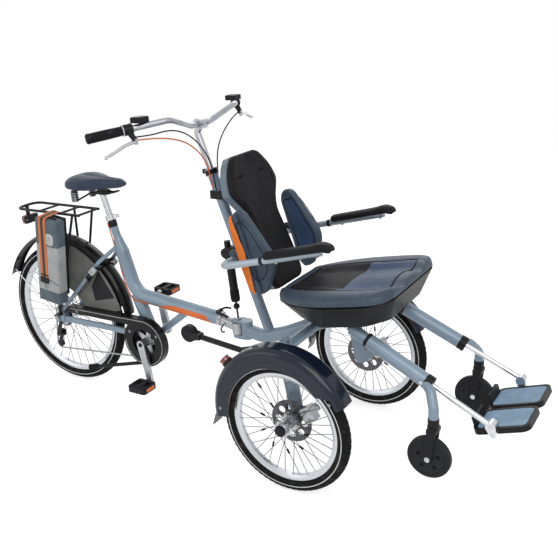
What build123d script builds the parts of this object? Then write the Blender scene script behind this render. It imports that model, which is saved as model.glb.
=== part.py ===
from build123d import *
import os
from math import cos, hypot, radians, sin, tan

# Wheelchair bicycle: a passenger chair on two front wheels, pushed and steered by a rider behind it.
# x points forward, y to the left, z up. While modelling, zero is on the ground under the front axles.
# Pieces that come in pairs are drawn on the left (y positive) and mirrored to the right.

# Driving dimensions of the whole machine
wheelbase = 1365.0
track = 685.0
front_wheel_radius = 250.0
rear_wheel_radius = 327.0
tyre_width = 47.0
front_rim_seat = 206.0
rear_rim_seat = 283.0
crank_length = 170.0
bottom_bracket = (-862.0, 293.0)
pivot_x = -410.0
pivot_eye_bottom = 394.0
pivot_eye_top = 440.0
side_tube_y = 156.0
side_tube_front_y = 170.0

# Fits and clearances
seat_gap = 0.3
run_gap = 0.1
slide_gap = 1.5
swing_gap = 5.5
cut_over = 2.0

# Wheels: spokes, rims and hubs
spoke_radius = 1.3
spoke_sides = 6
spoke_pairs = 9
spoke_cross_degrees = 55.0
rim_half_width = 13.0
rim_depth = 19.0
rim_foot_share = 0.6
spoke_hold = 3.0

front_axle_radius = 8.0
front_axle_reach = 24.0
front_hub_radius = 17.0
front_hub_inner = 46.0
front_hub_outer = 36.0
front_flange_radius = 29.0
front_flange_place = 24.0
flange_width = 4.0
hub_cap_radius = 20.0
hub_cap_depth = 7.0
disc_radius = 80.0
disc_width = 3.0
disc_centre_radius = 26.0
disc_slot_radius = 13.0
disc_slot_ring = 52.0
disc_slot_count = 8
disc_place = 40.0

rear_axle_radius = 6.0
rear_axle_half = 82.0
rear_nut_radius = 11.0
rear_hub_radius = 20.0
rear_hub_half = 58.0
rear_flange_radius = 34.0
rear_flange_place = 28.0
sprocket_radii = (52.0, 44.0, 37.0, 31.0)
sprocket_pitch = 6.0
sprocket_width = 3.0
sprocket_first = 34.0

# Rear frame
clamp_point = (-1024.0, 804.0)
main_bend = (-933.0, 484.0)
main_end = (-488.0, 438.0)
seat_tube_radius = 17.0
seat_tube_wide = 27.0
seat_tube_neck_share = 0.22
main_tube_radius = 29.0
bracket_shell_radius = 24.0
bracket_shell_half = 40.2
spindle_radius = 9.0
brace_front_x = -650.0
brace_radius = 15.0
dropout_y = 68.0
dropout_width = 6.0
dropout_radius = 26.0
stay_radius = 9.0
stay_knee = (-1085.0, 50.0, 622.0)
stay_end_y = 64.5
stay_top = (-1003.0, 14.0, 692.0)
chain_stay_depth = 28.0
chain_stay_width = 14.0
chain_stay_places = ((-1352.0, 66.0, 328.0), (-1060.0, 42.0, 316.0), (-955.0, 30.0, 306.0), (-880.0, 24.0, 298.0))

# Seat post and saddle
post_radius = 13.6
post_top_z = 912.0
post_inside = 60.0
clamp_radius = 22.0
clamp_height = 22.0
clamp_lug = 44.0
clamp_lug_half = 8.0
saddle_nose_x = -925.0
saddle_rear_x = -1208.0
saddle_top_z = 995.0
saddle_depth = 62.0
saddle_half_width = 100.0
saddle_nose_half = 22.0
rail_radius = 4.0
rail_y = 22.0
rail_nose_y = 6.0
rail_z = 922.0
spring_radius = 14.0
spring_height = 48.0

# Chain, its case, the cranks and the pedals
chain_y = 47.5
chain_width = 6.0
chain_thick = 5.0
chainring_radius = 78.0
chainring_width = 4.0
case_outer = 108.0
case_inner = 62.0
case_y = 62.0
case_width = 12.0
case_arm_depth = 34.0
crank_face = 82.0
crank_width = 15.0
crank_root = 19.0
crank_tip = 13.0
crank_lean_degrees = 9.0
spider_radius = 52.0
spider_width = 5.0
spider_arm = 16.0
spider_arms = 5
spider_tip_share = 0.8
pedal_length = 92.0
pedal_reach = 82.0
pedal_axle_share = 0.8
pedal_thick = 26.0
pedal_axle_radius = 5.0
pedal_gap = 8.0
pedal_open = 14.0
pulley_radius = 22.0
pulley_width = 7.0

# Rear mudguard, coat guards, rack, battery
guard_radius = 374.0
guard_centre = (-1350.0, 342.0)
guard_half_width = 30.0
guard_sag = 12.0
guard_wall = 2.5
guard_start_degrees = 6.0
guard_end_degrees = 158.0
guard_stay_radius = 2.5
guard_stay_space = 1.2
guard_stay_foot = 16.0
coat_inner = 150.0
coat_outer = 362.0
coat_wall = 2.0
coat_y = 31.6
coat_start_degrees = 12.0
coat_end_degrees = 94.0
rack_z = 826.0
rack_front_x = -1150.0
rack_rear_x = -1537.0
rack_half_width = 60.0
rack_radius = 6.0
rack_leg_radius = 5.5
rack_foot_radius = 9.0
rack_foot_space = 3.7
rack_bar_radius = 5.0
battery_size = (128.0, 60.0, 385.0)
battery_low = (-1320.0, -120.0, 440.0)
battery_round = 14.0
battery_lean_degrees = 8.0
strap_width = 13.0
strap_wall = 2.0
lamp_size = (30.0, 70.0, 34.0)
lamp_place = (-1529.0, 766.0)
lamp_tab_half = 4.0

# Chair frame
chair_tube_radius = 27.0
cross_beam_radius = 20.0
cross_beam_half = 262.0
carrier_width = 8.0
carrier_half_length = 32.0
carrier_low = 26.0
carrier_top = 13.0
axle_collar_radius = 14.0
side_tube_radius = 25.0
side_tube_front = (465.0, 428.0)
inner_tube_radius = 21.0
caster_leg_radius = 17.0
caster_x = 495.0
caster_y = 235.0
front_post_bottom = (-266.0, 428.0)
front_post_top = (-473.0, 1031.0)
front_post_radius = 20.0
yoke_gap = 3.0
yoke_plate = 9.0
yoke_low_plate = 14.0
pivot_pin_radius = 8.0
eye_radius = 27.0
coupling_radius = 23.4

caster_leg_end = 345.0
# Shares and small sizes of the rear frame
cord_share = 0.45
seat_tube_knee_share = 0.42
main_bend_radius = 85.0
stay_bend = 60.0
chain_stay_bend = 90.0
chain_stay_round = 5.0
dropout_share = 0.85
rear_nut_width = 7.0

# Saddle details
rail_inset = 42.0
spring_y = 52.0
rail_bend = 18.0
saddle_round_share = 0.42
# along from the rear, half width, drop of the top, depth
saddle_shares = ((0.0, 0.62, 0.12, 0.62), (0.18, 0.98, 0.0, 0.95), (0.42, 0.86, 0.08, 0.92), (0.68, 0.40, 0.10, 0.78),
                 (1.0, 0.20, 0.16, 0.55))

# Chain case, derailleur and pedal details
pulley_place = (-1399.0, 188.0)
pulley_rise = (22.0, 58.0)
pulley_share = 0.8
case_rear_x = -1290.0
case_arm_drop = 4.0
case_arm_share = 0.75
case_wall = 2.5
case_back = -40.5
case_hole_radius = 15.0
case_exit_gap = 3.0
chain_sprocket = 2
cage_wall = 2.5
hanger_radius = 9.0
hanger_step = (14.0, 22.0)
cage_radius = 11.0
hanger_width = 5.0
pedal_round = 12.0

# Side stand
stand_pivot = (-885.0, 178.0)
stand_y = 25.0
stand_eye_half = 8.0
stand_eye_radius = 13.0
stand_pin_radius = 5.0
stand_wall = 6.0
stand_foot = (-1165.0, -64.0, 118.0)
stand_leg_radius = 8.0
stand_foot_length = 48.0
stand_foot_radius = 12.0

# Mudguard stays, rack and battery details
guard_stay_degrees = (100.0, 150.0)
rack_bend = 40.0
rack_bar_shares = (0.02, 0.3, 0.62)
rack_leg_places = (-1190.0, -1300.0)
holder_width = 16.0
holder_low = 30.0
holder_share = 0.8
strap_back_share = 0.12
strap_low_share = 0.22

# Chair frame details
chair_tube_route = ((-374.0, 0.0, 412.0), (-290.0, 0.0, 396.0), (-190.0, 0.0, 430.0), (-40.0, 0.0, 500.0),
                    (170.0, 0.0, 572.0))
chair_tube_bends = [90.0, 120.0, 200.0]
cross_beam = (-40.0, 500.0)
front_beam_radius = 16.0
yoke_round = 24.0
yoke_wall = 10.0
pin_head = 7.0
pin_head_radius = 12.8
side_tube_lap = 70.0
footrest_depth = 150.0
footrest_rod_radius = 9.0
footrest_reach = 225.0
knuckle_radius = 17.0
knuckle_outer = 192.0
knuckle_ahead = 12.0
caster_leg_back = 35.0
caster_leg_step = 22.0
caster_leg_drop = 33.0
caster_leg_bends = (30.0, 30.0)
fender_peg = (-28.0, 536.0)
fender_peg_radius = 7.0

# Casters
caster_crown_radius = 19.0
caster_crown_height = 34.0
caster_stem_radius = 7.0
caster_stem_length = 30.0
caster_bridge = 14.0
caster_bridge_half = 17.0
caster_leg_root = 15.0
caster_trail = 13.0
caster_hub_z = 200.0
caster_wheel_radius = 75.0
caster_wheel_width = 28.0
caster_leg_gap = 5.0
caster_leg_wall = 5.0
caster_eye_radius = 14.0
caster_pin_radius = 5.0
caster_tread_round = 8.0
caster_holes = 5
caster_hole_ring = 36.0
caster_hole_radius = 8.0

# Footplates
plate_tilt_degrees = 18.0
plate_drop = -40.0
plate_ahead = 26.0
plate_length = 190.0
plate_inner = 8.0
plate_outer = 158.0
plate_round = 28.0
plate_rim = 12.0
plate_thick = 20.0
plate_well = 6.0
heel_height = 30.0

# Seat
seat_tilt_degrees = 10.0
seat_rear = (-112.0, 545.0)
seat_length = 470.0
seat_half_width = 250.0
# along from the rear, half width
seat_outline_shares = ((0.0, 0.55), (0.2, 0.84), (0.5, 1.0), (0.86, 0.98), (1.0, 0.72))
seat_corner = 40.0
pan_inset = 45.0
pan_depth = 82.0
cushion_depth = 42.0
cushion_inset = 26.0
trough_radius = 110.0
trough_depth = 24.0
trough_y = 100.0
trough_start_share = 0.3
trough_spread_share = 1.15

# Backrest and side supports
back_foot = (-169.0, 640.0)
back_lean_degrees = 19.4
back_height = 508.0
# half width, height share
back_outline_places = ((88.0, 0.0), (113.0, 0.1), (97.0, 0.44), (92.0, 0.54), (112.0, 0.63), (158.0, 0.75), (141.0, 0.865),
                       (111.0, 0.945), (80.0, 1.0))
back_corner = 18.0
back_shell_depth = 40.0
back_shell_inset = 16.0
back_pad_inset = 5.0
back_pad_depth = 12.0
slot_y = 72.0
slot_up = 430.0
slot_size = (34.0, 14.0)
slot_round_share = 0.4
side_pad_inner = 150.0
side_foot = (-192.0, 606.0)
side_lean_degrees = 17.0
side_bar_place = (-276.0, 800.0)
side_bar_radius = 6.0
side_ear = (-236.0, 800.0)
side_ear_radius = 13.0
side_pad_depth = 34.0
side_shell_depth = 9.0
side_shell_inset = 5.0
# forward out of the back, up the back
side_pad_places = ((0.0, 78.0), (30.0, 42.0), (64.0, 52.0), (128.0, 125.0), (133.0, 165.0), (72.0, 338.0), (38.0, 350.0), (6.0, 318.0))
side_pad_corner = 12.0
side_shell_reach = 46.0

# Handlebar, stem and strut
stem_radius = 13.0
stem_inside = 90.0
stem_rise = 168.0
stem_bend = 12.0
collar_radius = 25.0
collar_height = 26.0
bar_centre = (-508.0, 1224.0)
clamp_half = 22.0
bar_clamp_radius = 21.0
bar_radius = 11.0
bar_places = ((-508.0, 60.0, 1224.0), (-488.0, 200.0, 1269.0), (-650.0, 448.0, 1238.0))
bar_bends = (60.0, 50.0)
grip_length = 125.0
grip_radius = 17.0
grip_wall = 3.0
grip_waist_share = 0.94
control_width = 34.0
control_radius = 19.0
lever_places = ((-545.0, 324.0, 1213.0), (-556.0, 372.0, 1204.0), (-575.0, 450.0, 1177.0))
lever_bend = 30.0
lever_root_share = 0.6
lever_root_radius = 9.0
lever_radius = 5.0
display_size = (46.0, 52.0, 18.0)
display_place = (-552.0, 286.0, 1281.0)
display_round = 5.0
cable_radius = 2.5
bar_cable_routes = (
    ((-552.0, -314.8, 1226.0), (-543.0, -278.0, 1224.0), (-530.0, -240.0, 1224.0), (-512.0, -199.0, 1230.0),
     (-494.0, -153.0, 1223.0), (-476.0, -113.0, 1199.0), (-458.0, -84.0, 1163.0), (-446.0, -62.0, 1121.0),
     (-444.0, -42.0, 1077.0), (-450.0, -27.0, 1029.0), (-446.0, -22.5, 980.0)),
    ((-546.0, -314.7, 1216.0), (-536.0, -274.0, 1213.0), (-514.0, -232.0, 1209.0), (-495.0, -186.0, 1199.0),
     (-480.0, -142.0, 1182.0), (-464.0, -108.0, 1154.0), (-453.0, -80.0, 1119.0), (-452.0, -54.0, 1080.0),
     (-459.0, -36.0, 1034.0), (-455.0, -28.5, 986.0)),
    ((-549.0, 314.8, 1220.0), (-547.0, 279.0, 1211.0), (-551.0, 241.0, 1187.0), (-550.0, 200.0, 1160.0),
     (-540.0, 159.0, 1135.0), (-525.0, 119.0, 1110.0), (-506.0, 82.0, 1082.0), (-487.0, 53.0, 1047.0),
     (-474.0, 34.0, 1008.0), (-466.0, 25.5, 980.0)),
)
strut_rod_radius = 4.0
strut_ball_z = 506.0
strut_ball_radius = 13.0
strut_head_x = -434.0
strut_low = 528.0
strut_high = 690.0
strut_top = 775.0
strut_radius = 17.0
strut_head_radius = 13.0
bracket_z = 730.0
bracket_height = 32.0
bracket_half = 24.0
bracket_wall = 8.0
back_mount_z = 960.0

# Armrests
arm_tube_place = (-296.0, 765.0)
arm_tube_radius = 12.5
arm_tube_half = 150.0
arm_y = 248.0
arm_front = (115.0, 866.0)
arm_bend = 45.0
arm_spigot = 40.0
arm_spigot_radius = 9.0
arm_spigot_root = 10.0
arm_end_gap = 1.0
arm_pad_length = 270.0
arm_pad_width = 56.0
arm_pad_height = 26.0
arm_pad_sink = 9.0
arm_pad_over = 48.0
arm_pad_round = 12.0

# Front mudguards, lamps and brakes
fender_centre = (-5.0, 283.0)
fender_radius = 271.0
fender_half_width = 48.0
fender_skirt_radius = 203.0
fender_inner_skirt = 24.0
fender_round = 26.0
fender_wall = 3.0
fender_lip = 24.0
fender_step = (124.0, 416.0)
flap_y = 12.0
flap_length = 52.0
flap_width = 26.0
flap_lean = -0.35
fender_start_degrees = 23.0
fender_end_degrees = 187.0
lamp_degrees = 143.0
lamp_radius = 19.0
lamp_length = 24.0
caliper_degrees = 32.0
caliper_ring = 86.0
caliper_arm = 16.0
caliper_size = (44.0, 38.0, 56.0)

# Rear support wheel
anti_tip_front = (-262.0, -205.0, 430.0)
anti_tip_rear = (-464.0, -205.0, 453.0)
anti_tip_radius = 11.0
anti_tip_wheel_place = (-497.0, 458.0)
anti_tip_wheel_radius = 34.0
anti_tip_wheel_width = 22.0
anti_tip_wall = 3.0
anti_tip_root = 15.0
anti_tip_eye = 12.0
anti_tip_pin = 4.0

# Ring lock
lock_degrees = 45.0
lock_outer = 76.0
lock_ring = 335.0
lock_inner = 62.0
lock_width = 18.0
lock_mouth = 96.0
lock_open_share = 0.6

frame_shift = 457.4


def point(place, y=0.0):
    """A place given as x and z, set at a y."""
    return Vector(place[0], y, place[1])


def rod(start, end, radius, sides=0):
    """A straight round or many-sided bar between two points."""
    start = Vector(*start) if isinstance(start, tuple) else start
    end = Vector(*end) if isinstance(end, tuple) else end
    shape = RegularPolygon(radius, sides) if sides else Circle(radius)
    return extrude(Plane(origin=start, z_dir=end - start) * shape, amount=(end - start).length)


def cone(start, end, start_radius, end_radius):
    """A straight tapering bar between two points."""
    start = Vector(*start) if isinstance(start, tuple) else start
    end = Vector(*end) if isinstance(end, tuple) else end
    near = Plane(origin=start, z_dir=end - start)
    far = Plane(origin=end, z_dir=end - start)
    return loft([near * Circle(start_radius), far * Circle(end_radius)])


def bent(points, radii, section):
    """A section swept along straight runs joined by arcs."""
    path = FilletPolyline(*points, radius=radii)
    start = Plane(origin=path @ 0, z_dir=path % 0)
    return sweep(start * section, path=path)


def across(x, z, low, high, radius):
    """A round bar along y at an x and z."""
    return rod((x, low, z), (x, high, z), radius)


def left_and_right(shape):
    """The shape and its mirror image."""
    return shape, mirror(shape, about=Plane.XZ)


def both(shape):
    """The shape and its mirror image as one piece of separate solids."""
    return Compound(children=[solid for half in left_and_right(shape) for solid in half.solids()])


def apart(*shapes):
    """Several shapes as one piece of separate solids."""
    return Compound(children=[solid for shape in shapes for solid in shape.solids()])


def block(low, high):
    """A box between two corners."""
    size = [b - a for a, b in zip(low, high)]
    middle = [(a + b) / 2 for a, b in zip(low, high)]
    return Pos(*middle) * Box(*size)


def ring(shape_face, x, z, y=0.0):
    """A face drawn as radius and axial place, turned about a cross axis at x and z."""
    return Pos(x, y, z) * revolve(shape_face, axis=Axis.Y)


def tyre(radius, seat):
    """A tyre about the origin, hollowed where it sits on the rim."""
    middle = radius - tyre_width / 2
    face = Pos(middle, 0) * Circle(tyre_width / 2)
    face -= Pos(seat / 2, 0) * Rectangle(seat, tyre_width)
    return revolve(face, axis=Axis.Y)


def rim(seat):
    """A rim whose bed lies under the tyre."""
    top = seat - seat_gap
    foot = rim_half_width * rim_foot_share
    outline = Polyline((top, -rim_half_width), (top, rim_half_width), (top - rim_depth / 2, rim_half_width),
                       (top - rim_depth, foot), (top - rim_depth, -foot), (top - rim_depth / 2, -rim_half_width),
                       close=True)
    return revolve(make_face(outline), axis=Axis.Y)


def spokes(rim_radius, flange_radius, flange_place):
    """Crossed spokes from both flanges to the rim."""
    bars = []
    step = 360 / spoke_pairs
    for side in (-1, 1):
        for number in range(spoke_pairs):
            for lean in (-1, 1):
                foot = radians(number * step + side * step / 4)
                head = foot + lean * radians(spoke_cross_degrees)
                inner = (flange_radius * cos(head), side * flange_place, flange_radius * sin(head))
                outer = (rim_radius * cos(foot + lean * radians(step / 8)), side * spoke_hold,
                         rim_radius * sin(foot + lean * radians(step / 8)))
                bars.append(rod(inner, outer, spoke_radius, spoke_sides))
    return bars


def front_wheel():
    """Rim, spokes, hub and brake disc about the origin, outside towards y positive."""
    rim_foot = front_rim_seat - seat_gap - rim_depth
    body = rim(front_rim_seat) + across(0, 0, -front_hub_inner, front_hub_outer, front_hub_radius)
    for place in (-front_flange_place, front_flange_place):
        body += across(0, 0, place - flange_width / 2, place + flange_width / 2, front_flange_radius)
    body += across(0, 0, front_hub_outer, front_hub_outer + hub_cap_depth, hub_cap_radius)
    disc = across(0, 0, -disc_place - disc_width / 2, -disc_place + disc_width / 2, disc_radius)
    for number in range(disc_slot_count):
        turn = radians(number * 360 / disc_slot_count)
        disc -= across(disc_slot_ring * cos(turn), disc_slot_ring * sin(turn),
                       -front_hub_inner, front_hub_inner, disc_slot_radius)
    body += disc
    body += spokes(rim_foot + spoke_hold, front_flange_radius - flange_width, front_flange_place)
    return body - across(0, 0, -front_hub_inner - cut_over, front_axle_reach + slide_gap, front_axle_radius + run_gap)


def rear_wheel():
    """Rim, spokes, hub and sprockets about the origin, sprockets towards y negative."""
    rim_foot = rear_rim_seat - seat_gap - rim_depth
    body = rim(rear_rim_seat) + across(0, 0, -rear_hub_half, rear_hub_half, rear_hub_radius)
    for place in (-rear_flange_place, rear_flange_place):
        body += across(0, 0, place - flange_width / 2, place + flange_width / 2, rear_flange_radius)
    for number, radius in enumerate(sprocket_radii):
        outer = -sprocket_first - number * sprocket_pitch
        body += across(0, 0, outer - sprocket_width, outer, radius)
    body += spokes(rim_foot + spoke_hold, rear_flange_radius - flange_width, rear_flange_place)
    return body - across(0, 0, -rear_hub_half - cut_over, rear_hub_half + cut_over, rear_axle_radius + run_gap)


def hull(circles):
    """The face round a few circles given as x, z and radius, drawn upright in the x and z plane."""
    edges = []
    for x, z, radius in circles:
        edges += (Pos(x, z) * Circle(radius)).edges()
    return make_hull(edges)


def upright(face, low, high):
    """A face drawn in x and z, made solid from one y to another."""
    plane = Plane(origin=(0, high, 0), x_dir=(1, 0, 0), z_dir=(0, -1, 0))
    return extrude(plane * face, amount=high - low)


def band(face, x, z, start_degrees, end_degrees, y=0.0):
    """A face drawn as radius and axial place, turned from one angle up from forward to another."""
    solid = revolve(face, axis=Axis.Y, revolution_arc=end_degrees - start_degrees)
    return Pos(x, y, z) * Rot(0, -end_degrees, 0) * solid


def cord(points, radius):
    """A cable along a list of places, each corner as round as its two runs allow."""
    places = [Vector(*place) for place in points]
    bends = []
    for before, corner, after in zip(places, places[1:], places[2:]):
        turn = radians((corner - before).get_angle(after - corner))
        run = min((corner - before).length, (after - corner).length)
        bends.append(cord_share * run / tan(turn / 2))
    print("cord bends", [round(bend) for bend in bends])
    return bent(points, bends, Circle(radius))


def make_rear_frame():
    """Bent main tube, seat tube, stays, dropouts and the bottom bracket shell as one welded frame."""
    top = point(clamp_point)
    bend = point(main_bend)
    bottom = point(bottom_bracket)
    neck = top + (bend - top) * seat_tube_neck_share
    knee = top + (bend - top) * seat_tube_knee_share
    frame = rod(top, neck, seat_tube_radius) + cone(neck, knee, seat_tube_radius, main_tube_radius)
    frame += bent([knee, bend, point(main_end)], [main_bend_radius], Circle(main_tube_radius))
    frame += rod(bend, bottom, seat_tube_wide)
    bb_x, bb_z = bottom_bracket
    frame += across(bb_x, bb_z, -bracket_shell_half, bracket_shell_half, bracket_shell_radius)
    brace_share = (brace_front_x - main_bend[0]) / (main_end[0] - main_bend[0])
    brace_top = bend + (point(main_end) - bend) * brace_share
    frame += rod(bottom, brace_top, brace_radius)
    axle = (-wheelbase, rear_wheel_radius)
    outer = dropout_y + dropout_width
    for side in (-1, 1):
        frame += bent(stay_route(side), [stay_bend], Circle(stay_radius))
        flat = [(x, side * y, z) for x, y, z in chain_stay_places]
        frame += bent(flat, [chain_stay_bend, chain_stay_bend], RectangleRounded(chain_stay_width, chain_stay_depth,
                                                                                 chain_stay_round))
        plate = hull([(axle[0], axle[1], dropout_radius * dropout_share),
                      (axle[0] + dropout_radius, axle[1] + dropout_radius, dropout_radius / 2),
                      (axle[0] + dropout_radius, axle[1] - dropout_radius / 2, dropout_radius / 2)])
        low, high = sorted((side * dropout_y, side * outer))
        frame += upright(plate, low, high)
        frame -= across(axle[0], axle[1], low - stay_radius * 2, high + stay_radius * 2, rear_axle_radius + seat_gap)
    frame += make_stand_bracket()
    frame -= across(bb_x, bb_z, -bracket_shell_half - cut_over, bracket_shell_half + cut_over,
                    spindle_radius + run_gap)
    inside = top + (bend - top).normalized() * post_inside
    frame -= rod(inside, top - (bend - top).normalized() * cut_over, post_radius + seat_gap)
    return frame


def make_rear_axle():
    """The axle across the dropouts with a nut at each end."""
    x, z = -wheelbase, rear_wheel_radius
    axle = across(x, z, -rear_axle_half, rear_axle_half, rear_axle_radius)
    face = dropout_y + dropout_width + seat_gap
    for side in (-1, 1):
        low, high = sorted((side * face, side * (face + rear_nut_width)))
        axle += across(x, z, low, high, rear_nut_radius)
    return axle


def make_coupling():
    """The bare metal end of the rear frame with the eye that the chair swivels on."""
    start = point(main_end)
    eye_middle = (pivot_eye_bottom + pivot_eye_top) / 2
    end = Vector(pivot_x, 0, eye_middle)
    away = (end - start).normalized()
    main_way = (start - point(main_bend)).normalized()
    body = rod(start - away * main_tube_radius, end, coupling_radius)
    body -= rod(start - main_way * main_tube_radius * 2, start + main_way * seat_gap, main_tube_radius * 2)
    body &= block((start.X - main_tube_radius * 2, -main_tube_radius, pivot_eye_bottom),
                  (pivot_x, main_tube_radius, main_end[1] + main_tube_radius))
    body -= rod((pivot_x, 0, pivot_eye_top), (pivot_x, 0, pivot_eye_top + main_tube_radius), yoke_round + swing_gap)
    body += rod((pivot_x, 0, pivot_eye_bottom), (pivot_x, 0, pivot_eye_top), eye_radius)
    return body - rod((pivot_x, 0, pivot_eye_bottom - cut_over), (pivot_x, 0, pivot_eye_top + main_tube_radius),
                      pivot_pin_radius + run_gap)


def seat_post_line():
    """The top of the seat tube, the top of the seat post and the way up between them, on the seat tube's axis."""
    low = point(clamp_point)
    up = (low - point(main_bend)).normalized()
    return low, low + up * (post_top_z - low.Z) / up.Z, up


def make_seat_post():
    """The seat post, from inside the seat tube up to the saddle clamp."""
    low, high, up = seat_post_line()
    return rod(low - up * (post_inside - slide_gap), high, post_radius)


def make_post_clamp():
    """The clamp ring round the top of the seat tube, with its lever."""
    low, high, up = seat_post_line()
    ring_solid = rod(low + up * seat_gap, low + up * clamp_height, clamp_radius)
    plane = Plane(origin=low + up * clamp_height / 2, x_dir=(up.Z, 0, -up.X), z_dir=up)
    ring_solid += plane * Pos(clamp_lug / 2, 0, 0) * Box(clamp_lug, clamp_lug_half * 2, clamp_lug_half * 2)
    return ring_solid - rod(low, low + up * (clamp_height + cut_over), post_radius + seat_gap)


def make_saddle_rails():
    """Clamp block on the post, two rails and two coil springs at the rear."""
    top, up = seat_post_line()[1:]
    clamp = rod(top + up * seat_gap, top + up * (rail_z - top.Z) / up.Z, post_radius)
    clamp += block((top.X - clamp_radius, -rail_y - rail_radius, rail_z - rail_radius),
                   (top.X + clamp_radius, rail_y + rail_radius, rail_z + rail_radius * 2))
    floor = saddle_top_z - saddle_depth
    for side in (-1, 1):
        route = [(saddle_rear_x + rail_inset, side * spring_y, floor - spring_height),
                 (top.X - clamp_radius * 2, side * rail_y, rail_z),
                 (top.X + clamp_radius * 2, side * rail_y, rail_z),
                 (saddle_nose_x - rail_inset, side * rail_nose_y, floor - seat_gap)]
        clamp += bent(route, [rail_bend, rail_bend], Circle(rail_radius))
        clamp += rod((saddle_rear_x + rail_inset, side * spring_y, floor - spring_height),
                     (saddle_rear_x + rail_inset, side * spring_y, floor - seat_gap), spring_radius)
    return clamp


def make_saddle():
    """A wide padded saddle lofted through a few upright sections."""
    length = saddle_nose_x - saddle_rear_x
    faces = []
    for along_share, width_share, top_share, depth_share in saddle_shares:
        half = saddle_half_width * width_share
        depth = saddle_depth * depth_share
        middle = saddle_top_z - saddle_depth * top_share - depth / 2
        plane = Plane(origin=(saddle_rear_x + length * along_share, 0, middle), x_dir=(0, 1, 0), z_dir=(1, 0, 0))
        faces.append(plane * RectangleRounded(half * 2, depth, depth * saddle_round_share))
    return loft(faces)


def make_chain(extra=0.0):
    """The chain as one closed band round chainring, sprocket and lower pulley, or the space it needs."""
    bb_x, bb_z = bottom_bracket
    wheels = [(bb_x, bb_z, chainring_radius), (-wheelbase, rear_wheel_radius, sprocket_radii[chain_sprocket]),
              (*pulley_place, pulley_radius)]
    outer = hull([(x, z, radius + seat_gap + chain_thick + extra) for x, z, radius in wheels])
    inner = hull([(x, z, radius + seat_gap - extra) for x, z, radius in wheels])
    return upright(outer - inner, -chain_y - chain_width / 2 - extra, -chain_y + chain_width / 2 + extra)


def make_chain_case():
    """The case round the chainring with its arm over the upper run of the chain."""
    bb_x, bb_z = bottom_bracket
    front = -case_y - case_width
    arm_low = bb_z + case_outer - case_arm_depth
    arm = make_face(Polyline((bb_x, bb_z + case_outer), (case_rear_x, bb_z + case_outer - case_arm_drop),
                             (case_rear_x, arm_low), (bb_x - case_outer * case_arm_share, arm_low), (bb_x, bb_z),
                             close=True))
    outline = Pos(bb_x, bb_z) * Circle(case_outer) + arm
    hollow = offset(outline, amount=-case_wall)
    case = upright(outline, front, case_back) - upright(hollow, front + case_wall, case_back)
    case -= across(bb_x, bb_z, front - cut_over, front + case_wall + cut_over, case_inner)
    case -= block((case_rear_x - cut_over, front + case_wall, arm_low - cut_over),
                  (bb_x - case_outer, case_back + cut_over, arm_low + case_wall + cut_over))
    back = Pos(bb_x, bb_z) * (Circle(case_outer) - Circle(case_hole_radius))
    return case + upright(back, case_back - case_wall, case_back) - make_chain(case_exit_gap)


def make_derailleur():
    """Gear changer body, its cage and two guide pulleys, below the sprockets."""
    x, z = pulley_place
    top = (x + pulley_rise[0], z + pulley_rise[1])
    cage = hull([(x, z, cage_radius), (*top, cage_radius)])
    inner = -chain_y + pulley_width / 2
    outer = -chain_y - pulley_width / 2 - slide_gap
    body = upright(cage, outer - cage_wall, outer)
    body += across(x, z, outer, inner, pulley_radius * pulley_share)
    body += across(*top, outer, inner, pulley_radius * pulley_share)
    face = -dropout_y - dropout_width - seat_gap
    hanger = hull([(-wheelbase + hanger_step[0], rear_wheel_radius - hanger_step[1], hanger_radius),
                   (*top, hanger_radius)])
    body += upright(hanger, face - hanger_width, face)
    return body + across(*top, face, outer, hanger_radius)


def make_crankset():
    """Spindle, both cranks, pedal axles, chainring and its spider."""
    bb_x, bb_z = bottom_bracket
    lean = radians(crank_lean_degrees)
    solid = across(bb_x, bb_z, -crank_face - crank_width / 2, crank_face + crank_width / 2, spindle_radius)
    for side in (-1, 1):
        reach_x = -side * crank_length * sin(lean)
        reach_z = side * crank_length * cos(lean)
        arm = hull([(bb_x, bb_z, crank_root), (bb_x + reach_x, bb_z + reach_z, crank_tip)])
        low, high = sorted((side * crank_face, side * (crank_face + crank_width)))
        solid += upright(arm, low, high)
        low, high = sorted((side * crank_face, side * (crank_face + crank_width + pedal_gap + pedal_reach * pedal_axle_share)))
        solid += across(bb_x + reach_x, bb_z + reach_z, low, high, pedal_axle_radius)
    ring_face = Pos(bb_x, bb_z) * (Circle(chainring_radius) - Circle(chainring_radius - spider_arm))
    for number in range(spider_arms):
        turn = radians(number * 360 / spider_arms)
        tip = chainring_radius - spider_arm * spider_tip_share
        ring_face += hull([(bb_x, bb_z, spider_arm), (bb_x + tip * cos(turn), bb_z + tip * sin(turn), spider_arm / 2)])
    solid += upright(ring_face, -chain_y - chainring_width / 2, -chain_y + chainring_width / 2)
    solid += across(bb_x, bb_z, -crank_face, -chain_y, crank_root)
    return solid


def pedal_place(side):
    """The pedal axle's x and z on one side."""
    lean = radians(crank_lean_degrees)
    return (bottom_bracket[0] - side * crank_length * sin(lean), bottom_bracket[1] + side * crank_length * cos(lean))


def make_pedal(side):
    """A flat pedal with two openings, running on its axle."""
    x, z = pedal_place(side)
    near = crank_face + crank_width + pedal_gap
    body = Pos(x, side * (near + pedal_reach / 2), z) * Box(pedal_length, pedal_reach, pedal_thick)
    body = fillet(body.edges().filter_by(Axis.Z), pedal_round)
    for end in (-1, 1):
        opening = Pos(x + end * pedal_length / 4, side * (near + pedal_reach / 2), z)
        body -= opening * Box(pedal_length / 2 - pedal_open - pedal_axle_radius, pedal_reach - pedal_open * 2,
                              pedal_thick + cut_over)
    low, high = sorted((side * (near - cut_over), side * (near + pedal_reach * pedal_axle_share + slide_gap)))
    return body - across(x, z, low, high, pedal_axle_radius + run_gap)


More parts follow.
